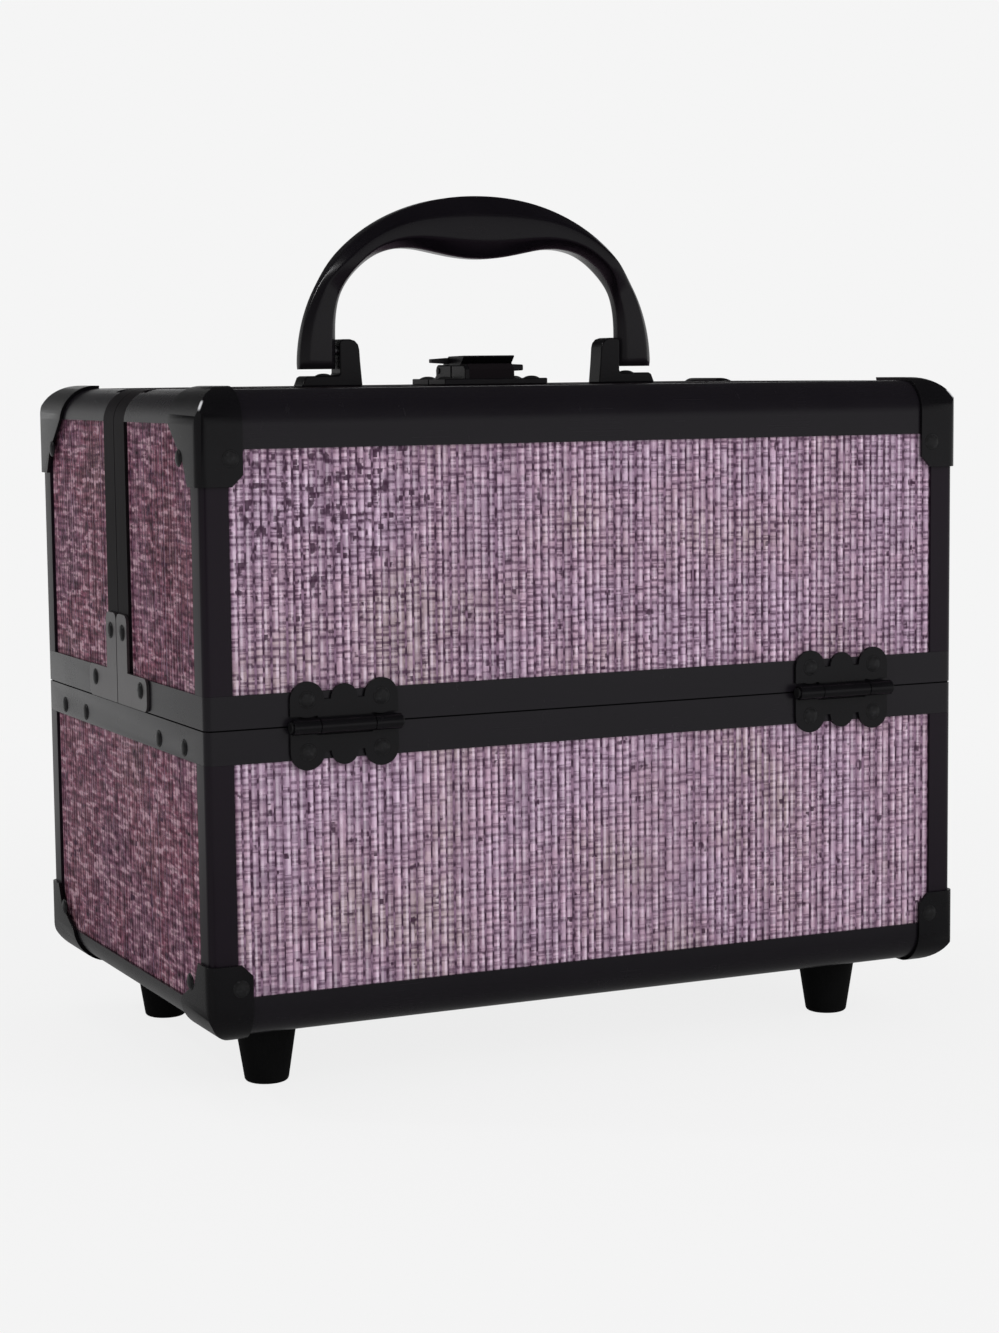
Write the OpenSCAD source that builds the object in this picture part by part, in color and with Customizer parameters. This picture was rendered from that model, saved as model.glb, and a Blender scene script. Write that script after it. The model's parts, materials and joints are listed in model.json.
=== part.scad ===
// Cosmetic train case with two lids that open away from each other.
// The origin is on the floor under the middle of the case.
// X is the width, -Y is the front, Z is up. All sizes are in millimetres.

/* [Case] */
// Outer width of the body
case_w = 300; // [280:1:340]
// Outer depth of the body
case_d = 188; // [184:1:200]
// Height of the body without its feet
body_h = 222; // [214:1:240]
// Height of the parting line above the bottom of the body
parting_h = 107.5; // [100:0.5:112]
// Gap between a lid and the base, and between the two lids
shut_gap = 0.5; // [0.4:0.1:0.8]
// Radius of the long top and bottom edges
edge_r = 12; // [10:0.5:12]
// Radius of the upright edges
post_r = 3; // [2.5:0.5:4]

/* [Walls] */
// Thickness of the metal skin of the frame
skin_t = 1.2; // [1:0.1:1.5]
// Thickness of the board panels
panel_t = 4; // [3.6:0.1:4]
// Thickness of the lining
lining_t = 0.8; // [0.5:0.1:0.8]

/* [Frame strips] */
// Width of the upright strips on the front, back and ends
post_strip = 10; // [9:0.5:12]
// Height of the top strip on the front and back
top_strip = 20; // [16:0.5:24]
// Height of the bottom strip on the front and back
bottom_strip = 15.3; // [14:0.1:20]
// Height of the top and bottom strips on the ends
end_strip = 11.5; // [10:0.5:14]
// Width of the edge strips on the top and bottom faces
flat_strip = 14; // [12:0.5:16]
// Height of the rim strips beside the parting line
rim_strip = 11.5; // [10:0.5:12]
// Width of the rim strips beside the split between the lids
split_strip = 12; // [11:0.5:14]
// Width of the top strips beside the split, which carry the handle
carry_strip = 18; // [17.5:0.5:20]
// Depth of the solid edge of each rim
rim_edge = 3; // [2.5:0.25:3]

/* [Corner caps] */
// Thickness of a corner cap
cap_t = 1.2; // [1:0.1:1.4]
// Reach of a cap along the width
cap_reach_x = 15; // [14:0.5:18]
// Reach of a cap along the depth
cap_reach_y = 33; // [30:0.5:36]
// Reach of an upper cap down the case
cap_reach_top = 32.5; // [30:0.5:34]
// Reach of a lower cap up the case
cap_reach_low = 27; // [26:0.5:32]
// Distance of a cap's rivet from the end of the case
cap_rivet_x = 10.5; // [9:0.5:11]
// Distance of a cap's rivet from the front of the case
cap_rivet_y = 18; // [16:0.5:20]
// Distance of an upper cap's rivets from the top
cap_rivet_top = 23; // [22:0.5:25]
// Distance of a lower cap's rivets from the bottom
cap_rivet_low = 19; // [18:0.5:21]

/* [Rivets] */
// Radius of a rivet head
rivet_head_r = 2.8; // [2.4:0.1:3]
// Height of a rivet head
rivet_head_h = 0.9; // [0.7:0.1:1.2]
// Radius of a rivet shank
rivet_r = 1.2; // [1:0.1:1.4]
// How deep a short rivet goes below the face of the frame
rivet_depth = 3.5; // [3:0.1:4]
// Radial clearance of a fixed rivet or screw
fixed_gap = 0.05; // [0.03:0.01:0.08]

/* [Hinges] */
// Distance of each hinge from the middle of the case
hinge_x = 100; // [90:1:104]
// Width of a hinge
hinge_w = 40; // [38:1:44]
// Width of the middle knuckle
knuckle_w = 20; // [18:1:22]
// Distance of the hinge axis from the face of the case
hinge_off = 3; // [3:0.1:3.2]
// Radius of a knuckle
knuckle_r = 2.7; // [2.5:0.05:2.7]
// Radius of a hinge pin
hinge_pin_r = 1.25; // [1.1:0.05:1.3]
// Thickness of a hinge leaf
leaf_t = 1.2; // [1:0.1:1.4]
// Distance of a leaf's rivets from the middle of the hinge
leaf_rivet_x = 13.7; // [13:0.1:14.5]
// Distance of a leaf's rivets from the parting line
leaf_rivet_z = 9; // [8.5:0.1:9.5]
// How far a knuckle's strap reaches into its leaf
strap_lap = 1; // [0.8:0.1:1.2]
// Radius of the two outer lobes of a leaf
leaf_lobe_r = 6.3; // [6:0.1:6.6]
// Radius of the middle lobe of a leaf
leaf_middle_r = 5; // [4.5:0.1:5.5]

/* [Joint plates] */
// Thickness of a joint plate
plate_t = 1; // [0.8:0.1:1.2]
// Length of its foot along the parting line
plate_foot = 34; // [32:0.5:38]
// Length of its leg up the split
plate_leg = 33; // [31:0.5:36]
// Height of its foot and width of its leg
plate_w = 12; // [11:0.5:12]
// Place of its upper rivet, from the split and from the parting line
plate_rivet_up = [7, 26.6]; // [5:0.1:30]
// Place of its lower rivet, from the split and from the parting line
plate_rivet_low = [27, 7.5]; // [5:0.1:30]

/* [Feet] */
// Height of the feet below the body
foot_h = 24; // [12:1:30]
// Radius of a foot at the floor
foot_low_r = 7.3; // [6.5:0.1:8.5]
// Radius of a foot at the case
foot_top_r = 9.5; // [9:0.1:12]
// Distance of the feet from the middle, along the width
foot_x = 117; // [105:1:122]
// Distance of the feet from the middle, along the depth
foot_y = 57; // [45:1:64]

/* [Handle] */
// Distance of the handle behind the split
handle_y = 9; // [8.9:0.05:9.1]
// Height of the handle above the lid
handle_top = 72; // [68:0.5:80]
// Height of the end of a leg above the lid
handle_low = 6.5; // [6:0.1:7]
// Half width between the legs
handle_gap_half = 60; // [59.5:0.1:62]
// Width of a leg of the handle, seen from the front
leg_w = 15.7; // [15:0.1:18]
// Height at which the inner arch springs from the legs, above the lid
arch_spring = 17.5; // [16:0.5:19]
// Rise of the inner arch above the ends of the grip
shoulder_rise = 3.2; // [2:0.1:4]
// Height of the middle of the grip above the lid
grip_low = 48; // [44:0.5:49]
// Drop of the grip below its shoulders
grip_drop = 4.8; // [3:0.1:6]
// Half length of the grip
grip_half = 38; // [34:0.5:42]
// Depth of the grip, front to back
grip_d = 19; // [17:0.5:21]
// Depth of a leg, front to back
leg_d = 14; // [13:0.5:15]
// Radius of a handle pin
handle_pin_r = 2.2; // [2:0.1:2.4]
// Thickness of the base of a handle mount
mount_t = 4; // [3:0.1:4]
// Thickness of the ear of a handle mount
ear_t = 10.5; // [9:0.5:11]
// Height of the ear above the lid
ear_h = 17.7; // [17.2:0.1:18.5]
// Radius of the top of the ear
ear_r = 4; // [3:0.5:5]
// How far the base of a mount stands out past its ear, front and back
mount_edge = 1.4; // [1:0.1:2]
// Distance of a mount's rivets from the middle of the leg
mount_rivet_half = 4; // [3.5:0.1:4.2]

/* [Latch] */
// Half width of the two latch plates
latch_half = 28.7; // [27:0.1:32]
// Thickness of the latch plates
latch_t = 2.4; // [2:0.1:2.6]
// Depth of each latch plate
latch_d = 15.5; // [15:0.5:16.5]
// Distance of a latch plate's rivets from its ends
latch_rivet_edge = 4; // [3.5:0.1:5]
// Distance of the catch block from the outer edge of its plate
catch_edge = 3; // [2:0.5:4]
// Width of the slope on the outer edge of the catch block
catch_slope = 2; // [1:0.5:3]
// Half width of the lever
lever_half = 16; // [14:0.5:17]
// Height of the lever above the lid
lever_top = 10.5; // [10:0.1:11]
// Height of the catch block above the lid
catch_top = 8; // [7.5:0.1:8.4]
// Distance of the lever pin behind the split
lever_pin_y = 12; // [11.5:0.1:12.4]
// Height of the lever pin above the lid
lever_pin_z = 5.4; // [5.2:0.1:5.6]
// Radius of the lever pin
lever_pin_r = 1.2; // [1:0.1:1.3]

/* [Tray linkage] */
// Place of the long arm's pivot, inward and up from the hinge axis
long_pivot = [25.5, -7.8]; // [-9:0.1:27]
// Distance of the short arm's pivot from the split
short_pivot_gap = 44; // [42:0.1:45]
// Distance of the long arm's upper pin from the split
arm_split_gap = 13.3; // [13:0.1:16]
// Place of the lower tray's pin in the lid, from the hinge axis
low_crank = [27, 22]; // [20:0.1:28]
// Height of the upper tray's pin in the lid, above the hinge axis
high_crank_z = 54; // [52:0.1:56]
// Width of an arm
arm_w = 10.5; // [9:0.5:11]
// Thickness of an arm
arm_t = 1.5; // [1.2:0.1:1.5]
// Width of a base bracket
bracket_w = 12.5; // [11:0.5:13]
// Width of the struts of a lid bracket
strut_w = 8.5; // [8:0.5:9]
// Thickness of the brackets
bracket_t = 1.6; // [1.4:0.1:1.6]
// Radius of the pins of the linkage
pin_r = 2; // [1.8:0.1:2]
// Radius of the pin heads
pin_head_r = 2.6; // [2.4:0.1:2.7]
// Thickness of the pin heads
pin_head_t = 0.6; // [0.5:0.1:0.6]

/* [Trays] */
// Height of the lower tray's bottom above the parting line
low_tray_z = 6.8; // [6.6:0.1:7]
// Height of the lower tray
low_tray_h = 32; // [30:0.5:32]
// Height of the upper tray's bottom above the parting line
high_tray_z = 40.5; // [40.4:0.1:41]
// Height of the upper tray
high_tray_h = 34.5; // [30:0.5:35]
// Inward distance from the hinge axis to a tray
tray_start = 13; // [12.8:0.1:14]
// Clearance between a tray and the split
tray_split_gap = 4; // [4:0.5:5]
// Wall thickness of a tray
tray_t = 2; // [1.6:0.1:2.2]
// Slope of a tray's long walls, as a lean over their height
tray_lean = 3; // [2.5:0.1:3.2]
// Radius of a tray's bottom edges
tray_r = 5; // [4:0.5:5]
// Width of the lip along a tray
tray_lip = 1.5; // [1:0.1:1.6]
// Thickness of that lip
lip_t = 1.6; // [1.2:0.1:2]
// Number of compartments in a lower tray
low_cells = 3; // [1:1:5]
// Number of compartments in an upper tray
high_cells = 4; // [1:1:5]

/* [Clearances] */
// Running clearance between sliding faces
run_gap = 0.4; // [0.3:0.05:0.4]
// Radial clearance of a turning pin
turn_gap = 0.08; // [0.05:0.01:0.1]
// Seam between neighbouring rails of the frame
seam = 0.1; // [0.05:0.05:0.2]
// Gap between the catch block and the lever
catch_gap = 0.5; // [0.4:0.1:0.6]

/* [Hidden] */
$fn = 48;

half_w = case_w / 2;
half_d = case_d / 2;
parting_z = foot_h + parting_h;
top_z = foot_h + body_h;
mid_z = foot_h + body_h / 2;
half_gap = shut_gap / 2;
// Depth of the board's inner face and of the lining's inner face
board_in = skin_t + panel_t;
wall_in = board_in + lining_t;
hinge_y = half_d + hinge_off;
// Edges of the base, of the lids and of the parts between them
low_z = foot_h + edge_r;
high_z = top_z - edge_r;
base_top_z = parting_z - half_gap;
base_edge_z = base_top_z - rim_edge;
lid_low_z = parting_z + half_gap;
lid_edge_z = lid_low_z + rim_edge;
split_y = -half_gap;
split_edge_y = split_y - rim_edge;
// A margin by which a cutting shape runs past what it cuts
over = 5;
// Places on the linkage, inward and up from the hinge axis
short_pivot = [hinge_y - short_pivot_gap, long_pivot[1]];
high_crank = [hinge_y - arm_split_gap - long_pivot[0], high_crank_z];
// Planes of the linkage, as distances from the middle of the case
bracket_x = half_w - wall_in - bracket_t;
arm_x = bracket_x - run_gap - arm_t;
tray_half = arm_x - run_gap - pin_head_t - run_gap + turn_gap;
pin_end_x = tray_half - tray_t - turn_gap - pin_head_t;
tray_end = hinge_y - tray_split_gap;
knuckle_gap = 0.3;
leaf_edge = knuckle_r + 0.6;
pivot_z = handle_low + leg_d / 2;
// The line on which the catch block and the lever face each other
catch_line = 3.5;
latch_rivet_x = latch_half - latch_rivet_edge;
latch_rivet_y = half_gap + latch_d / 2;
cheek_t = 3.2;
// Places on the handle and its mounts, outward from the middle
handle_half_w = handle_gap_half + leg_w;
mount_in_x = handle_gap_half - run_gap - ear_t;
mount_out_x = handle_half_w;
mount_mid_x = handle_gap_half + leg_w / 2;
pin_in_leg = 11;
// Screws of the feet
screw_r = 1.6;
screw_head_r = 3;
screw_seat_z = 12;
foot_round = 1.5;
frame_colour = [0.13, 0.12, 0.14];
panel_colour = [0.72, 0.58, 0.74];
lining_colour = [0.1, 0.09, 0.11];
steel_colour = [0.62, 0.62, 0.65];
tray_colour = [0.16, 0.15, 0.17];
rubber_colour = [0.05, 0.05, 0.05];

// Directions, mirrors and places

module across(x0, x1) {
    translate([x0, 0, 0]) rotate([90, 0, 90]) linear_extrude(x1 - x0) children();
}
module deep(y0, y1) {
    translate([0, y1, 0]) rotate([90, 0, 0]) linear_extrude(y1 - y0) children();
}
module both_ends() {
    for (m = [0, 1]) mirror([m, 0, 0]) children();
}
module both_sides() {
    for (m = [0, 1]) mirror([0, m, 0]) children();
}
module at_back() {
    mirror([0, 1, 0]) children();
}
module front_face(x, z, proud) {
    translate([x, -half_d - proud, z]) rotate([90, 0, 0]) children();
}
module left_face(y, z, proud) {
    translate([-half_w - proud, y, z]) rotate([0, -90, 0]) children();
}
// A box given by its lowest and highest corner
module block(a, b) {
    translate(a) cube(b - a);
}
// A point of the linkage, as its place in depth and height at the front
function spot(p) = [p[0] - hinge_y, parting_z + p[1]];
function arc(c, r, from, to, steps = 6) =
    [for (i = [0:steps]) c + r * [cos(from + (to - from) * i / steps),
                                  sin(from + (to - from) * i / steps)]];

// Flat shapes

module rounded(w, h, r) {
    square([w - 2 * r, h], center = true);
    square([w, h - 2 * r], center = true);
    for (x = [-1, 1], y = [-1, 1])
        translate([x * (w / 2 - r), y * (h / 2 - r)]) circle(r);
}
// A bar with round ends from one point to another
module bar(a, b, w) {
    length = norm(b - a);
    translate(a) rotate(atan2(b[1] - a[1], b[0] - a[0])) {
        translate([0, -w / 2]) square([length, w]);
        circle(w / 2);
        translate([length, 0]) circle(w / 2);
    }
}

// The outline of the whole body, drawn in by a depth
module body_shape(depth) {
    w = case_w - 2 * depth;
    d = case_d - 2 * depth;
    h = body_h - 2 * depth;
    translate([0, 0, mid_z]) intersection() {
        across(-w / 2, w / 2) rounded(d, h, edge_r - depth);
        deep(-d / 2, d / 2) rounded(w, h, edge_r - depth);
        translate([0, 0, -h / 2]) linear_extrude(h) rounded(w, d, post_r - depth);
    }
}
module room(depth) {
    block([depth - half_w, depth - half_d, foot_h + depth],
          [half_w - depth, half_d - depth, top_z - depth]);
}
module skin() {
    difference() {
        body_shape(0);
        body_shape(skin_t);
    }
}
// The board's layer: panels, and the cores of the edges between them
module board() {
    difference() {
        body_shape(skin_t);
        room(board_in);
    }
}

// Rivets

module rivet(depth) {
    ball_r = (rivet_head_r * rivet_head_r + rivet_head_h * rivet_head_h) / (2 * rivet_head_h);
    intersection() {
        translate([0, 0, rivet_head_h - ball_r]) sphere(ball_r);
        cylinder(h = rivet_head_h, r = rivet_head_r + fixed_gap);
    }
    translate([0, 0, -depth]) cylinder(h = depth + rivet_head_h / 2, r = rivet_r);
}
module rivet_hole(depth) {
    translate([0, 0, -depth - fixed_gap]) cylinder(h = depth + over, r = rivet_r + fixed_gap);
}
module rivet_or_hole(depth, hole) {
    if (hole) rivet_hole(depth);
    else rivet(depth);
}
module base_rivet_set(hole) {
    both_sides() both_ends() {
        front_face(cap_rivet_x - half_w, foot_h + cap_rivet_low, cap_t)
            rivet_or_hole(cap_t + rivet_depth, hole);
        left_face(cap_rivet_y - half_d, foot_h + cap_rivet_low, cap_t)
            rivet_or_hole(cap_t + rivet_depth, hole);
        for (p = [long_pivot, short_pivot])
            left_face(spot(p)[0], spot(p)[1], 0) rivet_or_hole(wall_in, hole);
        for (s = [-1, 1])
            front_face(s * leaf_rivet_x - hinge_x, parting_z - leaf_rivet_z, leaf_t)
                rivet_or_hole(leaf_t + rivet_depth, hole);
    }
}
module lid_rivet_set(hole) {
    both_ends() {
        front_face(cap_rivet_x - half_w, top_z - cap_rivet_top, cap_t)
            rivet_or_hole(cap_t + rivet_depth, hole);
        left_face(cap_rivet_y - half_d, top_z - cap_rivet_top, cap_t)
            rivet_or_hole(cap_t + rivet_depth, hole);
        for (p = [plate_rivet_up, plate_rivet_low])
            left_face(-p[0], parting_z + p[1], plate_t)
                rivet_or_hole(plate_t + wall_in, hole);
        for (s = [-1, 1])
            front_face(s * leaf_rivet_x - hinge_x, parting_z + leaf_rivet_z, leaf_t)
                rivet_or_hole(leaf_t + rivet_depth, hole);
        translate([latch_rivet_x, -latch_rivet_y, top_z + latch_t])
            rivet_or_hole(latch_t + skin_t, hole);
    }
}
module back_lid_rivets() {
    color(frame_colour) {
        at_back() lid_rivet_set(false);
        mount_rivet_set(false);
    }
}
module back_lid_split_rim() {
    difference() {
        at_back() lid_split_rim();
        mount_rivet_set(true);
    }
}
module mount_rivet_set(hole) {
    both_ends() for (s = [-1, 1])
        translate([mount_mid_x + s * mount_rivet_half, handle_y, top_z + mount_t])
            rivet_or_hole(mount_t + skin_t, hole);
}

// Base: panels, frame and lining

module base_face_panel() {
    color(panel_colour) difference() {
        intersection() {
            board();
            block([post_strip - half_w, -half_d, low_z],
                  [half_w - post_strip, board_in - half_d, base_edge_z]);
        }
        base_rivet_set(true);
    }
}
module base_end_panel() {
    color(panel_colour) difference() {
        intersection() {
            board();
            block([-half_w, post_strip - half_d, low_z],
                  [board_in - half_w, half_d - post_strip, base_edge_z]);
        }
        base_rivet_set(true);
    }
}
module base_floor_panel() {
    color(lining_colour) difference() {
        intersection() {
            board();
            block([edge_r - half_w, edge_r - half_d, foot_h],
                  [half_w - edge_r, half_d - edge_r, foot_h + board_in]);
        }
        foot_places() translate([0, 0, foot_h]) cylinder(h = over * 2, r = screw_r + fixed_gap);
    }
}
module base_lining() {
    color(lining_colour) difference() {
        intersection() {
            room(board_in);
            block([-half_w, -half_d, foot_h], [half_w, half_d, base_edge_z]);
        }
        room(wall_in);
        base_rivet_set(true);
        foot_places() translate([0, 0, foot_h]) cylinder(h = over * 2, r = screw_r + fixed_gap);
    }
}
// The closed ring round the mouth of the base
module base_rim() {
    color(frame_colour) difference() {
        union() {
            intersection() {
                skin();
                block([-half_w, -half_d, base_top_z - rim_strip], [half_w, half_d, base_edge_z]);
            }
            difference() {
                intersection() {
                    body_shape(0);
                    block([-half_w, -half_d, base_edge_z], [half_w, half_d, base_top_z]);
                }
                room(wall_in);
            }
        }
        base_rivet_set(true);
    }
}
// The upright corner of a frame, between two heights
module post(z0, z1) {
    intersection() {
        union() {
            skin();
            board();
        }
        block([-half_w, -half_d, z0], [post_strip - half_w, post_strip - half_d, z1]);
    }
}
module base_corner_posts() {
    color(frame_colour) difference() {
        both_sides() both_ends() {
            post(foot_h, base_edge_z - rim_strip + rim_edge);
            intersection() {
                board();
                block([-half_w, -half_d, base_edge_z - rim_strip + rim_edge],
                      [post_strip - half_w, post_strip - half_d, base_edge_z]);
            }
        }
        base_rivet_set(true);
    }
}
// The bottom edge on the front, with its core and its two strips
module front_bottom_rail() {
    difference() {
        union() {
            intersection() {
                skin();
                union() {
                    block([-half_w, -half_d, foot_h], [half_w, post_r - half_d, foot_h + bottom_strip]);
                    block([-half_w, -half_d, foot_h], [half_w, flat_strip - half_d, foot_h + edge_r]);
                }
            }
            intersection() {
                board();
                block([-half_w, -half_d, foot_h], [half_w, edge_r - half_d, low_z]);
            }
        }
        both_ends() block([-half_w - over, -half_d - over, foot_h - over],
                          [post_strip - half_w, post_strip - half_d, top_z]);
        both_ends() block([-half_w - over, post_strip - half_d, foot_h - over],
                          [edge_r + seam - half_w, 0, top_z]);
    }
}
module left_bottom_rail() {
    difference() {
        union() {
            intersection() {
                skin();
                union() {
                    block([-half_w, -half_d, foot_h], [post_r - half_w, half_d, foot_h + end_strip]);
                    block([-half_w, -half_d, foot_h], [flat_strip - half_w, half_d, foot_h + edge_r / 2]);
                }
            }
            intersection() {
                board();
                block([-half_w, -half_d, foot_h], [edge_r - half_w, half_d, low_z]);
            }
        }
        both_sides() block([-half_w - over, -half_d - over, foot_h - over],
                           [post_strip - half_w, post_strip - half_d, top_z]);
        both_sides() block([edge_r - half_w, -half_d - over, foot_h - over],
                           [half_w, flat_strip + seam - half_d, top_z]);
        both_sides() block([-half_w, -half_d, foot_h], [half_w, post_strip + seam - half_d, top_z]);
    }
}
module base_bottom_rails() {
    color(frame_colour) {
        both_sides() difference() {
            front_bottom_rail();
            base_rivet_set(true);
        }
        both_ends() difference() {
            left_bottom_rail();
            base_rivet_set(true);
        }
    }
}

// A corner cap, bent round the lower front left corner
module cap_shape(reach_z) {
    knee = 4;
    low = foot_h - over;
    side = [[-half_d - over, low], [cap_reach_y - half_d, low],
            [cap_reach_y - half_d - knee, foot_h + end_strip],
            [post_strip + knee - half_d, foot_h + reach_z - 2 * knee],
            [post_strip - half_d, foot_h + reach_z], [-half_d - over, foot_h + reach_z]];
    front = [[-half_w - over, low], [cap_reach_x - half_w, low],
             [cap_reach_x - half_w, foot_h + reach_z - knee],
             [cap_reach_x - half_w - knee, foot_h + reach_z],
             [-half_w - over, foot_h + reach_z]];
    flat = [[-half_w - over, -half_d - over], [cap_reach_x - half_w, -half_d - over],
            [cap_reach_x - half_w, flat_strip - half_d],
            [flat_strip - half_w, cap_reach_y - half_d],
            [-half_w - over, cap_reach_y - half_d]];
    intersection() {
        difference() {
            body_shape(-cap_t);
            body_shape(0);
        }
        across(-half_w - over, 0) polygon(side);
        deep(-half_d - over, 0) polygon(front);
        translate([0, 0, low]) linear_extrude(body_h) polygon(flat);
    }
}
module base_corner_caps() {
    color(frame_colour) difference() {
        both_sides() both_ends() cap_shape(cap_reach_low);
        base_rivet_set(true);
    }
}
module base_rivets() {
    color(frame_colour) base_rivet_set(false);
}

// Feet

module foot_places() {
    for (x = [-1, 1], y = [-1, 1]) translate([x * foot_x, y * foot_y, 0]) children();
}
module rubber_feet() {
    foot_end = foot_h + skin_t;
    lean = (foot_top_r - foot_low_r) / foot_end;
    outline = concat([[0, 0]],
                     arc([foot_low_r - foot_round, foot_round], foot_round, -90, 0),
                     [[foot_low_r + lean * foot_end, foot_end], [0, foot_end]]);
    color(rubber_colour) foot_places() difference() {
        rotate_extrude() polygon(outline);
        translate([0, 0, -over]) cylinder(h = screw_seat_z + over, r = screw_head_r + turn_gap);
        cylinder(h = foot_end * 2, r = screw_r + fixed_gap);
    }
}
module foot_screws() {
    head_h = 2.2;
    color(steel_colour) foot_places() {
        translate([0, 0, screw_seat_z - head_h]) cylinder(h = head_h, r = screw_head_r);
        translate([0, 0, screw_seat_z - head_h / 2])
            cylinder(h = foot_h + wall_in - screw_seat_z, r = screw_r);
    }
}

// Hinges

module hinge_axis() {
    translate([0, -hinge_y, parting_z]) rotate([0, 90, 0]) children();
}
module knuckle(x0, x1) {
    translate([x0, 0, 0]) hinge_axis() difference() {
        cylinder(h = x1 - x0, r = knuckle_r);
        translate([0, 0, -over]) cylinder(h = x1 - x0 + 2 * over, r = hinge_pin_r + turn_gap);
    }
}
// One leaf with its lobes, above the parting line for up = 1 and below it for up = -1
module leaf_plate(up) {
    deep(-half_d - leaf_t, -half_d) translate([0, parting_z]) mirror([0, up < 0 ? 1 : 0]) {
        translate([-hinge_w / 2, leaf_edge]) square([hinge_w, leaf_rivet_z - leaf_edge]);
        for (s = [-1, 1]) translate([s * leaf_rivet_x, leaf_rivet_z]) circle(leaf_lobe_r);
        translate([0, leaf_rivet_z]) circle(leaf_middle_r);
    }
}
// The strap that joins a knuckle to its leaf
module knuckle_strap(x0, x1, up) {
    z0 = up > 0 ? parting_z : parting_z - leaf_edge - strap_lap;
    difference() {
        block([x0, -half_d - leaf_t, z0], [x1, -half_d - fixed_gap * 2, z0 + leaf_edge + strap_lap]);
        translate([x0 - over, 0, 0]) hinge_axis()
            cylinder(h = x1 - x0 + 2 * over, r = hinge_pin_r + turn_gap);
    }
}
module base_leaf() {
    leaf_plate(-1);
    for (s = [0, 1]) mirror([s, 0, 0]) {
        knuckle(knuckle_w / 2 + knuckle_gap, hinge_w / 2);
        knuckle_strap(knuckle_w / 2 + knuckle_gap, hinge_w / 2, -1);
    }
}
module lid_leaf() {
    leaf_plate(1);
    knuckle(-knuckle_w / 2, knuckle_w / 2);
    knuckle_strap(-knuckle_w / 2, knuckle_w / 2, 1);
}
module base_hinge_leaves() {
    color(frame_colour) difference() {
        both_sides() for (s = [-1, 1]) translate([s * hinge_x, 0, 0]) base_leaf();
        base_rivet_set(true);
    }
}
module hinge_pins() {
    head_t = 0.8;
    head_r = hinge_pin_r + 0.6;
    color(frame_colour) both_sides() for (s = [-1, 1])
        translate([s * hinge_x - hinge_w / 2 - head_t, 0, 0]) hinge_axis() {
            cylinder(h = hinge_w + 2 * head_t, r = hinge_pin_r);
            cylinder(h = head_t - fixed_gap, r = head_r);
            translate([0, 0, hinge_w + head_t + fixed_gap])
                cylinder(h = head_t - fixed_gap, r = head_r);
        }
}

// Linkage: brackets and arms

// A pin at a point of the linkage, from a plate inward to its head
module link_pin(p, x_out, x_in) {
    at = spot(p);
    translate([x_in, at[0], at[1]]) rotate([0, 90, 0]) {
        cylinder(h = x_out - x_in, r = pin_r);
        cylinder(h = pin_head_t, r = pin_head_r);
    }
}
module pin_bore(p, x0, x1) {
    at = spot(p);
    translate([x0, at[0], at[1]]) rotate([0, 90, 0]) cylinder(h = x1 - x0, r = pin_r + turn_gap);
}
module base_arm_brackets() {
    head_x = arm_x - turn_gap - pin_head_t;
    color(steel_colour) both_sides() both_ends() {
        across(bracket_x, bracket_x + bracket_t)
            bar(spot(long_pivot), spot(short_pivot), bracket_w);
        for (p = [long_pivot, short_pivot]) link_pin(p, bracket_x + bracket_t / 2, head_x);
    }
}
module lid_tray_brackets() {
    up = [-plate_rivet_up[0], parting_z + plate_rivet_up[1]];
    low = [-plate_rivet_low[0], parting_z + plate_rivet_low[1]];
    color(steel_colour) both_ends() {
        across(bracket_x, bracket_x + bracket_t) {
            bar(spot(low_crank), spot(high_crank), arm_w);
            bar(spot(high_crank), up, strut_w);
            bar(up, low, strut_w);
            bar(low, spot(low_crank), strut_w);
        }
        for (p = [low_crank, high_crank]) link_pin(p, bracket_x + bracket_t / 2, pin_end_x);
    }
}
module long_arms() {
    mid = long_pivot + low_crank;
    end = long_pivot + high_crank;
    color(steel_colour) both_ends() difference() {
        union() {
            across(arm_x, arm_x + arm_t) {
                bar(spot(long_pivot), spot(mid), arm_w);
                bar(spot(mid), spot(end), arm_w);
            }
            for (p = [mid, end]) link_pin(p, arm_x + arm_t / 2, pin_end_x);
        }
        pin_bore(long_pivot, arm_x - over, arm_x + over);
    }
}
module short_arms() {
    end = short_pivot + low_crank;
    color(steel_colour) both_ends() difference() {
        union() {
            across(arm_x, arm_x + arm_t) bar(spot(short_pivot), spot(end), arm_w);
            link_pin(end, arm_x + arm_t / 2, pin_end_x);
        }
        pin_bore(short_pivot, arm_x - over, arm_x + over);
    }
}

// Trays

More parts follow.
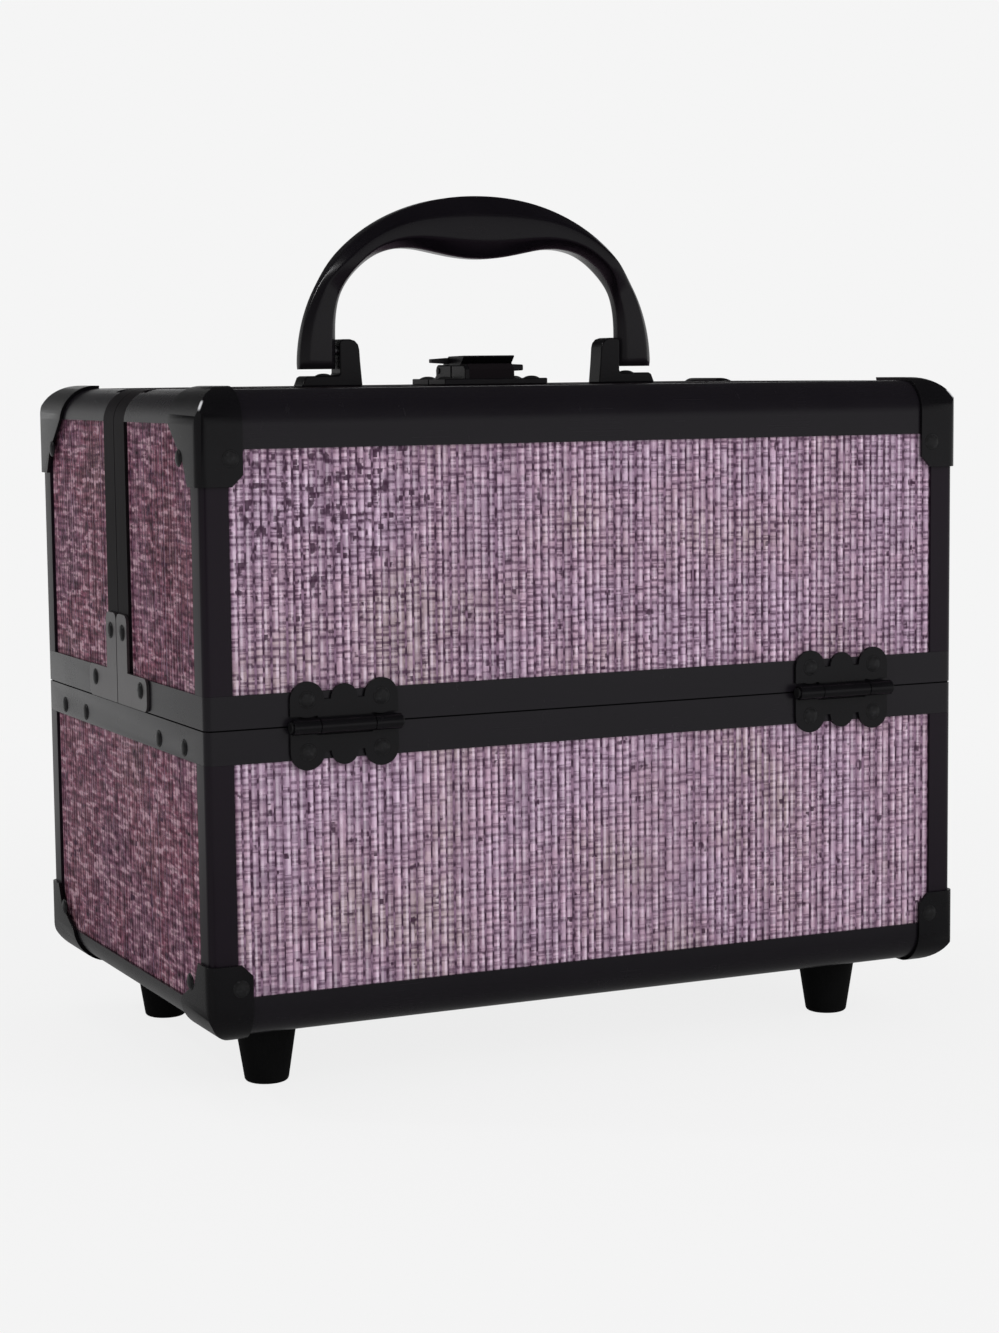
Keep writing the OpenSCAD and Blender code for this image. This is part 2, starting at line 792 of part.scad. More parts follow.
// The outline of a tray, or of its hollow where t is its wall
module tray_outline(z0, h, t) {
    a = [tray_start + tray_lip + t, parting_z + z0 + t];
    b = [tray_end - tray_lip - t, parting_z + z0 + h];
    r = tray_r - t;
    y_out = a[0] + tray_lean;
    y_in = b[0] - tray_lean;
    lip = t > 0 ? 0 : tray_lip;
    top = b[1] + (t > 0 ? over : 0);
    translate([-hinge_y, 0]) polygon(concat(
        [[a[0] - lip, top], [a[0] - lip, b[1] - lip_t], [a[0], b[1] - lip_t]],
        arc([y_out + r, a[1] + r], r, 180, 270),
        arc([y_in - r, a[1] + r], r, 270, 360),
        [[b[0], b[1] - lip_t], [b[0] + lip, b[1] - lip_t], [b[0] + lip, top]]));
}
module tray(z0, h, cells, pivots) {
    cell_w = (2 * tray_half - tray_t) / cells;
    color(tray_colour) difference() {
        across(-tray_half, tray_half) tray_outline(z0, h, 0);
        for (i = [0:cells - 1])
            across(tray_t - tray_half + i * cell_w, (i + 1) * cell_w - tray_half)
                tray_outline(z0, h, tray_t);
        for (p = pivots) both_ends() pin_bore(p, tray_half - tray_t - over, tray_half + over);
    }
}
module lower_tray() {
    tray(low_tray_z, low_tray_h, low_cells,
         [low_crank, long_pivot + low_crank, short_pivot + low_crank]);
}
module upper_tray() {
    tray(high_tray_z, high_tray_h, high_cells, [high_crank, long_pivot + high_crank]);
}

// Lids: all of these are drawn for the front lid

module lid_face_panel() {
    color(panel_colour) difference() {
        intersection() {
            board();
            block([post_strip - half_w, -half_d, lid_edge_z],
                  [half_w - post_strip, board_in - half_d, high_z]);
        }
        lid_rivet_set(true);
    }
}
module lid_top_panel() {
    color(panel_colour) intersection() {
        board();
        block([edge_r - half_w, edge_r - half_d, top_z - board_in],
              [half_w - edge_r, split_edge_y, top_z]);
    }
}
module lid_end_panel() {
    color(panel_colour) difference() {
        intersection() {
            board();
            block([-half_w, post_strip - half_d, lid_edge_z],
                  [board_in - half_w, split_edge_y, high_z]);
        }
        lid_rivet_set(true);
    }
}
module lid_lining() {
    color(lining_colour) difference() {
        intersection() {
            room(board_in);
            block([-half_w, -half_d, lid_edge_z], [half_w, split_edge_y, top_z]);
        }
        room(wall_in);
        lid_rivet_set(true);
    }
}
module lid_top_rail() {
    difference() {
        union() {
            intersection() {
                skin();
                union() {
                    block([-half_w, -half_d, top_z - top_strip], [half_w, post_r - half_d, top_z]);
                    block([-half_w, -half_d, high_z], [half_w, flat_strip - half_d, top_z]);
                }
            }
            intersection() {
                board();
                block([-half_w, -half_d, high_z], [half_w, edge_r - half_d, top_z]);
            }
        }
        both_ends() block([-half_w - over, -half_d - over, foot_h],
                          [post_strip - half_w, post_strip - half_d, top_z + over]);
        both_ends() block([-half_w - over, post_strip - half_d, foot_h],
                          [edge_r + seam - half_w, 0, top_z + over]);
    }
}
module lid_end_rail() {
    difference() {
        union() {
            intersection() {
                skin();
                union() {
                    block([-half_w, -half_d, top_z - end_strip], [post_r - half_w, 0, top_z]);
                    block([-half_w, -half_d, top_z - edge_r / 2], [flat_strip - half_w, 0, top_z]);
                }
            }
            intersection() {
                board();
                block([-half_w, -half_d, high_z], [edge_r - half_w, 0, top_z]);
            }
        }
        block([-half_w - over, -half_d - over, foot_h],
              [half_w, post_strip + seam - half_d, top_z + over]);
        block([edge_r - half_w, -half_d - over, foot_h],
              [half_w, flat_strip + seam - half_d, top_z + over]);
        block([-half_w - over, split_edge_y, foot_h], [half_w, over, top_z + over]);
        block([-half_w - over, -split_strip - half_gap, foot_h], [skin_t - half_w, over, top_z + over]);
        block([-half_w - over, -carry_strip - half_gap, top_z - skin_t], [half_w, over, top_z + over]);
        split_skin();
    }
}
module lid_edge_rails() {
    color(frame_colour) difference() {
        union() {
            lid_top_rail();
            both_ends() lid_end_rail();
        }
        lid_rivet_set(true);
    }
}
module lid_posts() {
    rim_z = lid_low_z + rim_strip;
    color(frame_colour) difference() {
        both_ends() {
            post(rim_z, top_z);
            intersection() {
                board();
                block([-half_w, -half_d, lid_edge_z],
                      [post_strip - half_w, post_strip - half_d, rim_z]);
            }
        }
        lid_rivet_set(true);
    }
}
module lid_lower_rim() {
    color(frame_colour) difference() {
        union() {
            intersection() {
                skin();
                block([-half_w, -half_d, lid_low_z], [half_w, split_y, lid_low_z + rim_strip]);
            }
            difference() {
                intersection() {
                    body_shape(0);
                    block([-half_w, -half_d, lid_low_z], [half_w, split_y, lid_edge_z]);
                }
                room(wall_in);
            }
        }
        lid_rivet_set(true);
    }
}
// The skin beside the split, over the ends and the top
module split_skin() {
    intersection() {
        skin();
        union() {
            block([-half_w, split_y - split_strip, lid_low_z + rim_strip], [half_w, split_y, top_z]);
            block([edge_r - half_w, split_y - carry_strip, high_z],
                  [half_w - edge_r, split_y, top_z]);
        }
    }
}
module lid_split_rim() {
    color(frame_colour) difference() {
        union() {
            split_skin();
            difference() {
                intersection() {
                    body_shape(0);
                    block([-half_w, split_edge_y, lid_edge_z], [half_w, split_y, top_z]);
                }
                room(wall_in);
                difference() {
                    block([-half_w - over, -half_d, foot_h],
                          [half_w + over, over, lid_low_z + rim_strip]);
                    body_shape(skin_t);
                }
            }
        }
        lid_rivet_set(true);
    }
}
module lid_corner_caps() {
    color(frame_colour) difference() {
        translate([0, 0, 2 * mid_z]) mirror([0, 0, 1]) both_ends() cap_shape(cap_reach_top);
        lid_rivet_set(true);
    }
}
module lid_joint_plates() {
    r = 3;
    foot_z = lid_low_z + fixed_gap;
    split = split_y - fixed_gap;
    color(frame_colour) difference() {
        both_ends() across(-half_w - plate_t, -half_w) {
            translate([split - plate_foot + r, foot_z]) square([plate_foot - r, plate_w]);
            translate([split - plate_foot, foot_z + r]) square([r, plate_w - 2 * r]);
            for (z = [r, plate_w - r]) translate([split - plate_foot + r, foot_z + z]) circle(r);
            translate([split - plate_w, foot_z]) square([plate_w, plate_leg - r]);
            translate([split - plate_w + r, foot_z]) square([plate_w - 2 * r, plate_leg]);
            for (y = [r, plate_w - r]) translate([split - y, foot_z + plate_leg - r]) circle(r);
        }
        lid_rivet_set(true);
    }
}
module lid_hinge_leaves() {
    color(frame_colour) difference() {
        for (s = [-1, 1]) translate([s * hinge_x, 0, 0]) lid_leaf();
        lid_rivet_set(true);
    }
}

// Latch

module lever_pin_place(x0) {
    translate([x0, lever_pin_y, top_z + lever_pin_z]) rotate([0, 90, 0]) children();
}
module latch_plate() {
    block([-latch_half, split_y - latch_d, top_z], [latch_half, split_y - fixed_gap, top_z + latch_t]);
}
module latch_keeper() {
    block_y = [split_y - latch_d + catch_edge, split_y - fixed_gap];
    color(frame_colour) difference() {
        union() {
            latch_plate();
            across(-lever_half, lever_half) intersection() {
                translate([block_y[0], top_z + latch_t / 2])
                    square([block_y[1] - block_y[0], catch_top - latch_t / 2]);
                polygon([[block_y[0] - over, top_z], [catch_line, top_z],
                         [catch_line - catch_top, top_z + catch_top],
                         [block_y[0] + catch_slope, top_z + catch_top], [block_y[0] - over, top_z + latch_t]]);
            }
        }
        lid_rivet_set(true);
    }
}
module latch_base() {
    cheek_r = 3.4;
    color(frame_colour) difference() {
        union() {
            at_back() latch_plate();
            both_ends() across(lever_half + run_gap, lever_half + run_gap + cheek_t) {
                translate([lever_pin_y - cheek_r, top_z + latch_t / 2])
                    square([2 * cheek_r, lever_pin_z - latch_t / 2]);
                translate([lever_pin_y, top_z + lever_pin_z]) circle(cheek_r);
            }
        }
        at_back() lid_rivet_set(true);
        lever_pin_place(-case_w) cylinder(h = 2 * case_w, r = lever_pin_r + fixed_gap);
    }
}
module latch_pin() {
    half = lever_half + run_gap + cheek_t + fixed_gap;
    head_t = 0.7;
    head_r = lever_pin_r + 0.8;
    color(steel_colour) both_ends() {
        lever_pin_place(0) cylinder(h = half + head_t / 2, r = lever_pin_r);
        lever_pin_place(half) cylinder(h = head_t, r = head_r);
    }
}
module latch_lever() {
    barrel_r = 2.6;
    // The lever's underside falls by this from its tip to its barrel
    fall = 1;
    // The lever's top is this far in front of its barrel
    crest = 4;
    // Where the back slope leaves the barrel
    tangent = barrel_r * [cos(60), sin(60)];
    line = catch_line + catch_gap * sqrt(2);
    low = latch_t + run_gap * 2 + fall;
    color(frame_colour) difference() {
        across(-lever_half, lever_half) {
            translate([lever_pin_y, top_z + lever_pin_z]) circle(barrel_r);
            polygon([[line - low, top_z + low], [lever_pin_y, top_z + low - fall],
                     [lever_pin_y, top_z + lever_pin_z] + tangent,
                     [lever_pin_y - crest, top_z + lever_top], [line - lever_top, top_z + lever_top]]);
        }
        lever_pin_place(-case_w) cylinder(h = 2 * case_w, r = lever_pin_r + turn_gap);
    }
}

// Handle

module handle_pin_place(x0) {
    translate([x0, handle_y, top_z + pivot_z]) rotate([0, 90, 0]) children();
}
module handle_mounts() {
    ear_half = leg_d / 2;
    base_half = leg_d / 2 + mount_edge;
    color(frame_colour) difference() {
        both_ends() {
            block([mount_in_x, handle_y - base_half, top_z],
                  [mount_out_x, handle_y + base_half, top_z + mount_t]);
            across(mount_in_x, mount_in_x + ear_t) translate([handle_y, top_z]) {
                translate([-ear_half, mount_t / 2]) square([2 * ear_half, ear_h - ear_r - mount_t / 2]);
                translate([ear_r - ear_half, ear_h / 2]) square([2 * (ear_half - ear_r), ear_h / 2]);
                for (s = [-1, 1]) translate([s * (ear_half - ear_r), ear_h - ear_r]) circle(ear_r);
            }
        }
        handle_pin_place(-case_w) cylinder(h = 2 * case_w, r = handle_pin_r + fixed_gap);
        mount_rivet_set(true);
    }
}
module handle_pins() {
    head_t = 1;
    head_r = handle_pin_r + 1.2;
    color(steel_colour) both_ends() {
        handle_pin_place(mount_in_x - head_t)
            cylinder(h = head_t - fixed_gap, r = head_r);
        handle_pin_place(mount_in_x - head_t)
            cylinder(h = head_t + ear_t + run_gap + pin_in_leg, r = handle_pin_r);
    }
}
function super_arch(t, w, h, power) =
    [w * sign(cos(t)) * pow(abs(cos(t)), 2 / power), h * pow(abs(sin(t)), 2 / power)];
// Height of the underside of the grip at a distance from the middle
function grip_line(x) = grip_low + grip_drop / 2 * (1 - cos(180 * min(abs(x), grip_half) / grip_half));
module handle() {
    steps = 36;
    outer_power = 2.1;
    inner_power = 2.8;
    outer = [for (i = [0:steps])
             super_arch(180 * i / steps, handle_half_w, handle_top - handle_low, outer_power)
             + [0, handle_low]];
    arch_h = grip_low + grip_drop + shoulder_rise - arch_spring;
    arch = [for (i = [0:steps])
            super_arch(180 - 180 * i / steps, handle_gap_half, arch_h, inner_power)
            + [0, arch_spring]];
    inner = [for (p = arch) [p[0], abs(p[0]) < grip_half ? min(p[1], grip_line(p[0])) : p[1]]];
    outline = concat(outer, [[-handle_gap_half, handle_low]], inner, [[handle_gap_half, handle_low]]);
    leg = leg_d / 2;
    grip = grip_d / 2;
    top_r = 6;
    color(frame_colour) difference() {
        intersection() {
            deep(handle_y - grip_d, handle_y + grip_d) translate([0, top_z]) polygon(outline);
            across(-case_w, case_w) translate([handle_y, top_z]) {
                translate([0, pivot_z]) circle(leg);
                polygon([[-leg, pivot_z], [leg, pivot_z], [leg, arch_spring * 2], [grip, grip_low],
                         [grip, handle_top - top_r], [-grip, handle_top - top_r],
                         [-grip, grip_low], [-leg, arch_spring * 2]]);
                translate([top_r - grip, grip_low])
                    square([grip_d - 2 * top_r, handle_top - grip_low]);
                for (s = [-1, 1]) translate([s * (grip - top_r), handle_top - top_r]) circle(top_r);
            }
        }
        both_ends() handle_pin_place(handle_gap_half - over)
            cylinder(h = over + pin_in_leg + turn_gap, r = handle_pin_r + turn_gap);
    }
}

// Nodes

base_face_panel();  // base_front_panel
at_back() base_face_panel();  // base_back_panel
base_end_panel();  // base_left_panel
mirror([1, 0, 0]) base_end_panel();  // base_right_panel
base_floor_panel();
base_lining();
base_rim();
base_corner_posts();
base_bottom_rails();
base_corner_caps();
base_rivets();
rubber_feet();
foot_screws();
base_hinge_leaves();
hinge_pins();
base_arm_brackets();
lid_face_panel();  // front_lid_face_panel
lid_top_panel();  // front_lid_top_panel
lid_end_panel();  // front_lid_left_panel
mirror([1, 0, 0]) lid_end_panel();  // front_lid_right_panel
lid_lining();  // front_lid_lining
lid_edge_rails();  // front_lid_edge_rails
lid_posts();  // front_lid_posts
lid_lower_rim();  // front_lid_lower_rim
lid_split_rim();  // front_lid_split_rim
lid_corner_caps();  // front_lid_corner_caps
lid_joint_plates();  // front_lid_joint_plates
color(frame_colour) lid_rivet_set(false);  // front_lid_rivets
lid_hinge_leaves();  // front_lid_hinge_leaves
lid_tray_brackets();  // front_lid_tray_brackets
latch_keeper();
at_back() lid_face_panel();  // back_lid_face_panel
at_back() lid_top_panel();  // back_lid_top_panel
at_back() lid_end_panel();  // back_lid_left_panel
mirror([1, 0, 0]) at_back() lid_end_panel();  // back_lid_right_panel
at_back() lid_lining();  // back_lid_lining
at_back() lid_edge_rails();  // back_lid_edge_rails
at_back() lid_posts();  // back_lid_posts
at_back() lid_lower_rim();  // back_lid_lower_rim
back_lid_split_rim();
at_back() lid_corner_caps();  // back_lid_corner_caps
at_back() lid_joint_plates();  // back_lid_joint_plates
back_lid_rivets();
at_back() lid_hinge_leaves();  // back_lid_hinge_leaves
at_back() lid_tray_brackets();  // back_lid_tray_brackets
latch_base();
latch_pin();
handle_mounts();
handle_pins();
latch_lever();
handle();
long_arms();  // front_long_arms
short_arms();  // front_short_arms
at_back() long_arms();  // back_long_arms
at_back() short_arms();  // back_short_arms
lower_tray();  // front_lower_tray
upper_tray();  // front_upper_tray
at_back() lower_tray();  // back_lower_tray
at_back() upper_tray();  // back_upper_tray
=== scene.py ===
import json
import math

import bmesh
import bpy
from mathutils import Matrix, Vector

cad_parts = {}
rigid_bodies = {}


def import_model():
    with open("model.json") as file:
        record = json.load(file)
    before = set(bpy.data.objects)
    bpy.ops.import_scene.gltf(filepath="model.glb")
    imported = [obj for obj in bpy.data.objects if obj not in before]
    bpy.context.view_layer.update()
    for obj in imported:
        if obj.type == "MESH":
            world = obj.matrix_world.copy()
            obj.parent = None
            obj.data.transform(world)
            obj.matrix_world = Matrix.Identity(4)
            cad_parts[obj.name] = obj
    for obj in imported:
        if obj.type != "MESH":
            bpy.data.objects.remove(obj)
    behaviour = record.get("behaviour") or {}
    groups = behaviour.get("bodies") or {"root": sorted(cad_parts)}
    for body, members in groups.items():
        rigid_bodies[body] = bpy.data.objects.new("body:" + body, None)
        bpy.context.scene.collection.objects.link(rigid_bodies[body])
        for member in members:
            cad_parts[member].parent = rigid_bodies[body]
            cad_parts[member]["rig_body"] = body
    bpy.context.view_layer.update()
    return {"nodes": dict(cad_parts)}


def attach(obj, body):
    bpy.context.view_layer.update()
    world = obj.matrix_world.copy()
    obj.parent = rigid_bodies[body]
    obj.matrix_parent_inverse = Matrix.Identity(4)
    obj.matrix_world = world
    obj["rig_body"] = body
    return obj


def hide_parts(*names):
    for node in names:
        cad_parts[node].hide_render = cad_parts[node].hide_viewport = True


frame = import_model()
scene = bpy.context.scene

# Board panels
# Each wall is a 4 mm board faced with lilac foil. The foil is pressed into narrow upright ribs
# with dark grooves between them, and broken into small cells by dark dashes across the ribs.

BODY_WIDTH = 0.300
BODY_DEPTH = 0.188
FLOOR_Z = 0.024
TOP_Z = 0.246
PARTING_Z = 0.1315
FACE_DEPTH = 0.0012
POST_STRIP = 0.010
RIM_STRIP = 0.0115
HALF_GAP = 0.00025
TUCK = 0.0008


class Wire:
    """An output of a material's node, so that sums on it read like arithmetic."""

    def __init__(self, tree, socket):
        self.tree = tree
        self.socket = socket

    def node(self, kind, settings=None, sockets=None, out=0):
        made = self.tree.nodes.new(kind)
        for name, value in (settings or {}).items():
            if name == "stops":
                ramp = made.color_ramp
                while len(ramp.elements) < len(value):
                    ramp.elements.new(0.5)
                for element, (place, colour) in zip(ramp.elements, value):
                    element.position = place
                    element.color = (*colour, 1)
            else:
                setattr(made, name, value)
        for key, value in (sockets or {}).items():
            if isinstance(value, Wire):
                self.tree.links.new(value.socket, made.inputs[key])
            else:
                made.inputs[key].default_value = value
        return Wire(self.tree, made.outputs[out])

    def named(self, label):
        """Another output of the same node."""
        return Wire(self.tree, self.socket.node.outputs[label])

    def maths(self, operation, *values):
        return self.node("ShaderNodeMath", {"operation": operation}, dict(enumerate(values)))

    def vector(self, operation, *values, out=0):
        return self.node("ShaderNodeVectorMath", {"operation": operation}, dict(enumerate(values)), out)

    def __add__(self, other):
        return self.maths("ADD", self, other)

    def __radd__(self, other):
        return self.maths("ADD", other, self)

    def __sub__(self, other):
        return self.maths("SUBTRACT", self, other)

    def __rsub__(self, other):
        return self.maths("SUBTRACT", other, self)

    def __mul__(self, other):
        return self.maths("MULTIPLY", self, other)

    def __rmul__(self, other):
        return self.maths("MULTIPLY", other, self)

    def __truediv__(self, other):
        return self.maths("DIVIDE", self, other)

    def __rtruediv__(self, other):
        return self.maths("DIVIDE", other, self)

    def floor(self):
        return self.maths("FLOOR", self)

    def fraction(self):
        return self.maths("FRACT", self)

    def distance(self, other):
        return self.maths("ABSOLUTE", self - other)

    def between(self, low, high):
        """0 below low, 1 above high, and a smooth change between them."""
        return self.node("ShaderNodeMapRange", {"interpolation_type": "SMOOTHSTEP"},
                         {0: self, 1: low, 2: high, 3: 0.0, 4: 1.0})

    def part(self, index):
        return self.node("ShaderNodeSeparateXYZ", {}, {0: self}, index)

    def point(self, x, y, z=0.0):
        return self.node("ShaderNodeCombineXYZ", {}, {0: x, 1: y, 2: z})

    def stretched(self, x, y, z):
        return self.vector("MULTIPLY", self, (x, y, z))

    def chance(self):
        """A fixed random number from 0 to 1 for each whole place."""
        return self.node("ShaderNodeTexWhiteNoise", {"noise_dimensions": "3D"}, {"Vector": self})

    def noise(self, scale, detail=2.0, roughness=0.5):
        return self.node("ShaderNodeTexNoise", {}, {"Vector": self, "Scale": scale, "Detail": detail,
                                                    "Roughness": roughness})

    def tint(self, low, high):
        """The colour low where this is 0 and high where it is 1."""
        return self.node("ShaderNodeMix", {"data_type": "RGBA"}, {
            0: self,
            6: low if isinstance(low, Wire) else (*low, 1),
            7: high if isinstance(high, Wire) else (*high, 1)}, 2)

    def bump(self, height, strength=0.3):
        return self.node("ShaderNodeBump", {}, {"Strength": strength, "Distance": height, "Height": self})


def finish(name, roughness, metallic=0.0, **constants):
    """A new material, with its shader and the place on the object that it is read at."""
    material = bpy.data.materials.new(name)
    material.use_nodes = True
    tree = material.node_tree
    shader = tree.nodes["Principled BSDF"]
    shader.inputs["Roughness"].default_value = roughness
    shader.inputs["Metallic"].default_value = metallic
    for socket, value in constants.items():
        shader.inputs[socket.replace("_", " ")].default_value = value
    coordinates = tree.nodes.new("ShaderNodeTexCoord")
    return material, shader, Wire(tree, coordinates.outputs["Object"])


def feed(shader, **wires):
    for socket, wire in wires.items():
        wire.tree.links.new(wire.socket, shader.inputs[socket.replace("_", " ")])


def dress(material, *nodes):
    """Gives CAD nodes a material of this script."""
    for name in nodes:
        mesh = frame["nodes"][name].data
        mesh.materials.clear()
        mesh.materials.append(material)


FOIL_LILAC = (0.540, 0.372, 0.515)
FOIL_ROSE = (0.535, 0.350, 0.465)
FOIL_STONE = (0.500, 0.375, 0.405)
FOIL_HIGHLIGHT = (0.960, 0.800, 0.940)
FOIL_PLUM = (0.062, 0.022, 0.056)
FOIL_DARK_REFLECTION = (0.042, 0.015, 0.036)
GROOVE_PLUM = (0.255, 0.155, 0.235)
GROOVE_BLACK = (0.055, 0.027, 0.050)
RIB_PITCH = 0.00290
DASH_PITCH = 0.00275
# How many steps of a dark cell's outline a rib's width has, and the length of a step
BITS_ACROSS = 1.5
BIT_LENGTH = 0.0019
# The middle of the dark cells' crowd, and where it begins to thin and ends
DARK_PATCH = (-0.108, -0.094, 0.214)
CROWD_NEAR = 0.020
CROWD_FAR = 0.062
# The base's foil, below the first height, is pressed less deep than the lids', above the second
BASE_TOP_FOIL = 0.121
LID_LOW_FOIL = 0.142
BASE_DEEP = 0.82


def foil_finish(name, colours, gloss, mottling):
    """The ribs of the foil. Each rib knows its number, and its own width and length by its UV map."""
    lilac, rose, stone, bright, plum = colours
    material, shader, place = finish(name, 0.42, Specular_IOR_Level=gloss)
    across_along = place.node("ShaderNodeUVMap", {"uv_map": "rib_place"})
    across = across_along.part(0)
    along = across_along.part(1)
    rib = place.node("ShaderNodeAttribute", {"attribute_name": "rib"}, out=2)
    own = place.point(rib, 3.7).chance()
    row = along / DASH_PITCH + place.point(rib * 0.23, along * 60.0).noise(1.0, 1.0) * 1.3
    row_number = row.floor()
    # Dashes across one rib, and longer ones across two
    one = place.point(rib, row_number, 1.5).chance().between(0.28, 0.46)
    two = place.point((rib * 0.5 + 0.25).floor(), row_number, 7.5).chance().between(0.55, 0.62)
    line = 1.0 - row.fraction().distance(0.5).between(0.08, 0.30)
    half_line = 1.0 - (row + own * 0.4 + 0.3).fraction().distance(0.5).between(0.04, 0.15)
    short = place.point(rib, row_number, 4.5).chance().between(0.70, 0.80)
    dash = place.maths("MAXIMUM", line * place.maths("MAXIMUM", one, two), half_line * short * 0.8)
    # A painted highlight runs along a crease up one side of most ribs, and fades in and out along it
    side = own.between(0.45, 0.55) * 0.40 + 0.29
    fading = place.point(rib * 5.3, along * 160.0, 2.0).noise(1.0, 1.0).between(0.34, 0.62) * 0.75 + 0.25
    crease_highlight = (1.0 - across.distance(side).between(0.08, 0.30)) * fading
    # Each rib and each cell has its own lightness
    cell = place.point(rib, row_number, 9.5).chance()
    speck = place.stretched(1.0, 1.0, 2.6).noise(150.0, 1.5)
    lightness = own * 0.24 + cell * 0.28 + 0.52 + (speck - 0.5) * mottling
    hue = place.noise(22.0, 2.0) + (cell - 0.5) * 0.10
    base = hue.between(0.38, 0.54).tint(lilac, rose)
    base = hue.between(0.52, 0.70).tint(base, stone)
    # Painted sparkles and the painted crease highlight lighten the foil towards its bright colour
    painted_sparkle = (speck + cell * 0.10).between(0.58, 0.70) * (mottling * 0.36)
    base = crease_highlight.maths("MAXIMUM", crease_highlight * 0.66, painted_sparkle).tint(base, bright)
    base = base.node("ShaderNodeMix", {"data_type": "RGBA", "blend_type": "MULTIPLY"},
                     {0: 1.0, 6: base, 7: lightness.tint((0, 0, 0), (1, 1, 1))}, 2)
    # Painted shade darkens each rib away from its crease highlight, lighter in random patches
    flank_shade_gaps = place.noise(420.0, 1.0).between(0.40, 0.62)
    edge = across.distance(side).between(0.22, 0.62)
    deep = place.part(2).between(BASE_TOP_FOIL, LID_LOW_FOIL) * (1.0 - BASE_DEEP) + BASE_DEEP
    base = (edge * (0.62 - flank_shade_gaps * 0.42) * deep).tint(base, plum)
    base = (dash * (0.82 - crease_highlight * 0.48) * deep).tint(base, plum)
    # Some cells are painted dark, a painted reflection of cells that lie tilted, most of them in one corner
    # of the front lid
    away = place.vector("DISTANCE", place, DARK_PATCH, out=1)
    crowd = (1.0 - away.between(CROWD_NEAR, CROWD_FAR)) * 0.092
    bit = place.point((across * BITS_ACROSS + rib * BITS_ACROSS).floor() * RIB_PITCH / BITS_ACROSS,
                      (along / BIT_LENGTH).floor() * BIT_LENGTH, own * 0.0005)
    dark_cell_reflection = (place.noise(225.0, 1.0) * 0.50 + bit.noise(225.0, 1.0) * 0.50 + cell * 0.05
              + crowd).between(0.648, 0.704)
    base = (dark_cell_reflection * 0.90).tint(base, FOIL_DARK_REFLECTION)
    feed(shader, Base_Color=base, Roughness=cell * 0.22 + 0.34,
         Normal=(crease_highlight * 0.5 - dash).bump(0.00012, 0.5))
    return material


crystal_foil = foil_finish("crystal_foil", (FOIL_LILAC, FOIL_ROSE, FOIL_STONE, FOIL_HIGHLIGHT, FOIL_PLUM),
                           0.12, 0.35)
# The end panels take the same foil painted darker and redder: painted shade and painted reflection of the
# ends seen at a slant
SHADED_END_LILAC = (0.225, 0.088, 0.148)
SHADED_END_ROSE = (0.268, 0.080, 0.128)
SHADED_END_STONE = (0.215, 0.100, 0.118)
SHADED_END_HIGHLIGHT = (0.540, 0.350, 0.410)
SHADED_END_PLUM = (0.048, 0.012, 0.026)
shaded_end_foil = foil_finish("shaded_end_foil", (SHADED_END_LILAC, SHADED_END_ROSE, SHADED_END_STONE, SHADED_END_HIGHLIGHT, SHADED_END_PLUM), 0.03, 2.5)
groove_foil, groove_shader, groove_place = finish("groove_foil", 0.5, Specular_IOR_Level=0.08)
groove_mottle = groove_place.noise(380.0, 1.0).between(0.36, 0.66)
feed(groove_shader, Base_Color=groove_mottle.tint(GROOVE_BLACK, GROOVE_PLUM),
     Normal=groove_mottle.bump(0.00005))

PANELS = [prefix + end for prefix in ("base_", "front_lid_", "back_lid_")
          for end in ("left_panel", "right_panel")]
PANELS += ["base_front_panel", "base_back_panel"]
PANELS += [lid + face for lid in ("front_lid_", "back_lid_") for face in ("face_panel", "top_panel")]
dress(groove_foil, *PANELS)


def new_mesh(name, points, faces, material=None):
    mesh = bpy.data.meshes.new(name)
    mesh.from_pydata(points, [], faces)
    piece = bpy.data.objects.new(name, mesh)
    scene.collection.objects.link(piece)
    if material:
        mesh.materials.append(material)
    return piece


def lofted(name, solids, material=None, joined=False):
    """Solids in one piece. Each is a row of rings of points, whose ends are filled in or joined."""
    points = []
    faces = []
    for rings in solids:
        start = len(points)
        size = len(rings[0])
        count = len(rings)
        for ring in rings:
            points += ring
        for row in range(count if joined else count - 1):
            here = start + row * size
            there = start + (row + 1) % count * size
            faces += [(here + k, here + (k + 1) % size, there + (k + 1) % size, there + k)
                      for k in range(size)]
        if not joined:
            last = start + (count - 1) * size
            faces += [tuple(range(start + size - 1, start - 1, -1)), tuple(range(last, last + size))]
    return new_mesh(name, points, faces, material)


def made_plain(piece, modifier):
    """The piece's mesh becomes what the modifier makes of it, and the modifier goes."""
    bpy.context.view_layer.update()
    seen = piece.evaluated_get(bpy.context.evaluated_depsgraph_get())
    mesh = bpy.data.meshes.new_from_object(seen)
    piece.modifiers.remove(modifier)
    piece.data = mesh


def settle(piece, body, slot, *nodes):
    """Says which body carries the piece and hides the CAD nodes that it stands for. The slot, what it is
    made of, is not used.
    """
    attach(piece, body)
    for node in nodes:
        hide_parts(node)


def node_tree(name, inputs):
    """An empty Geometry Nodes tree with named inputs, and a maker of linked nodes."""
    tree = bpy.data.node_groups.new(name, "GeometryNodeTree")
    tree.interface.new_socket("Geometry", in_out="INPUT", socket_type="NodeSocketGeometry")
    for label, kind in inputs:
        tree.interface.new_socket(label, in_out="INPUT", socket_type="NodeSocket" + kind)
    tree.interface.new_socket("Geometry", in_out="OUTPUT", socket_type="NodeSocketGeometry")
    return tree, Wire(tree, tree.nodes.new("NodeGroupInput").outputs[0])


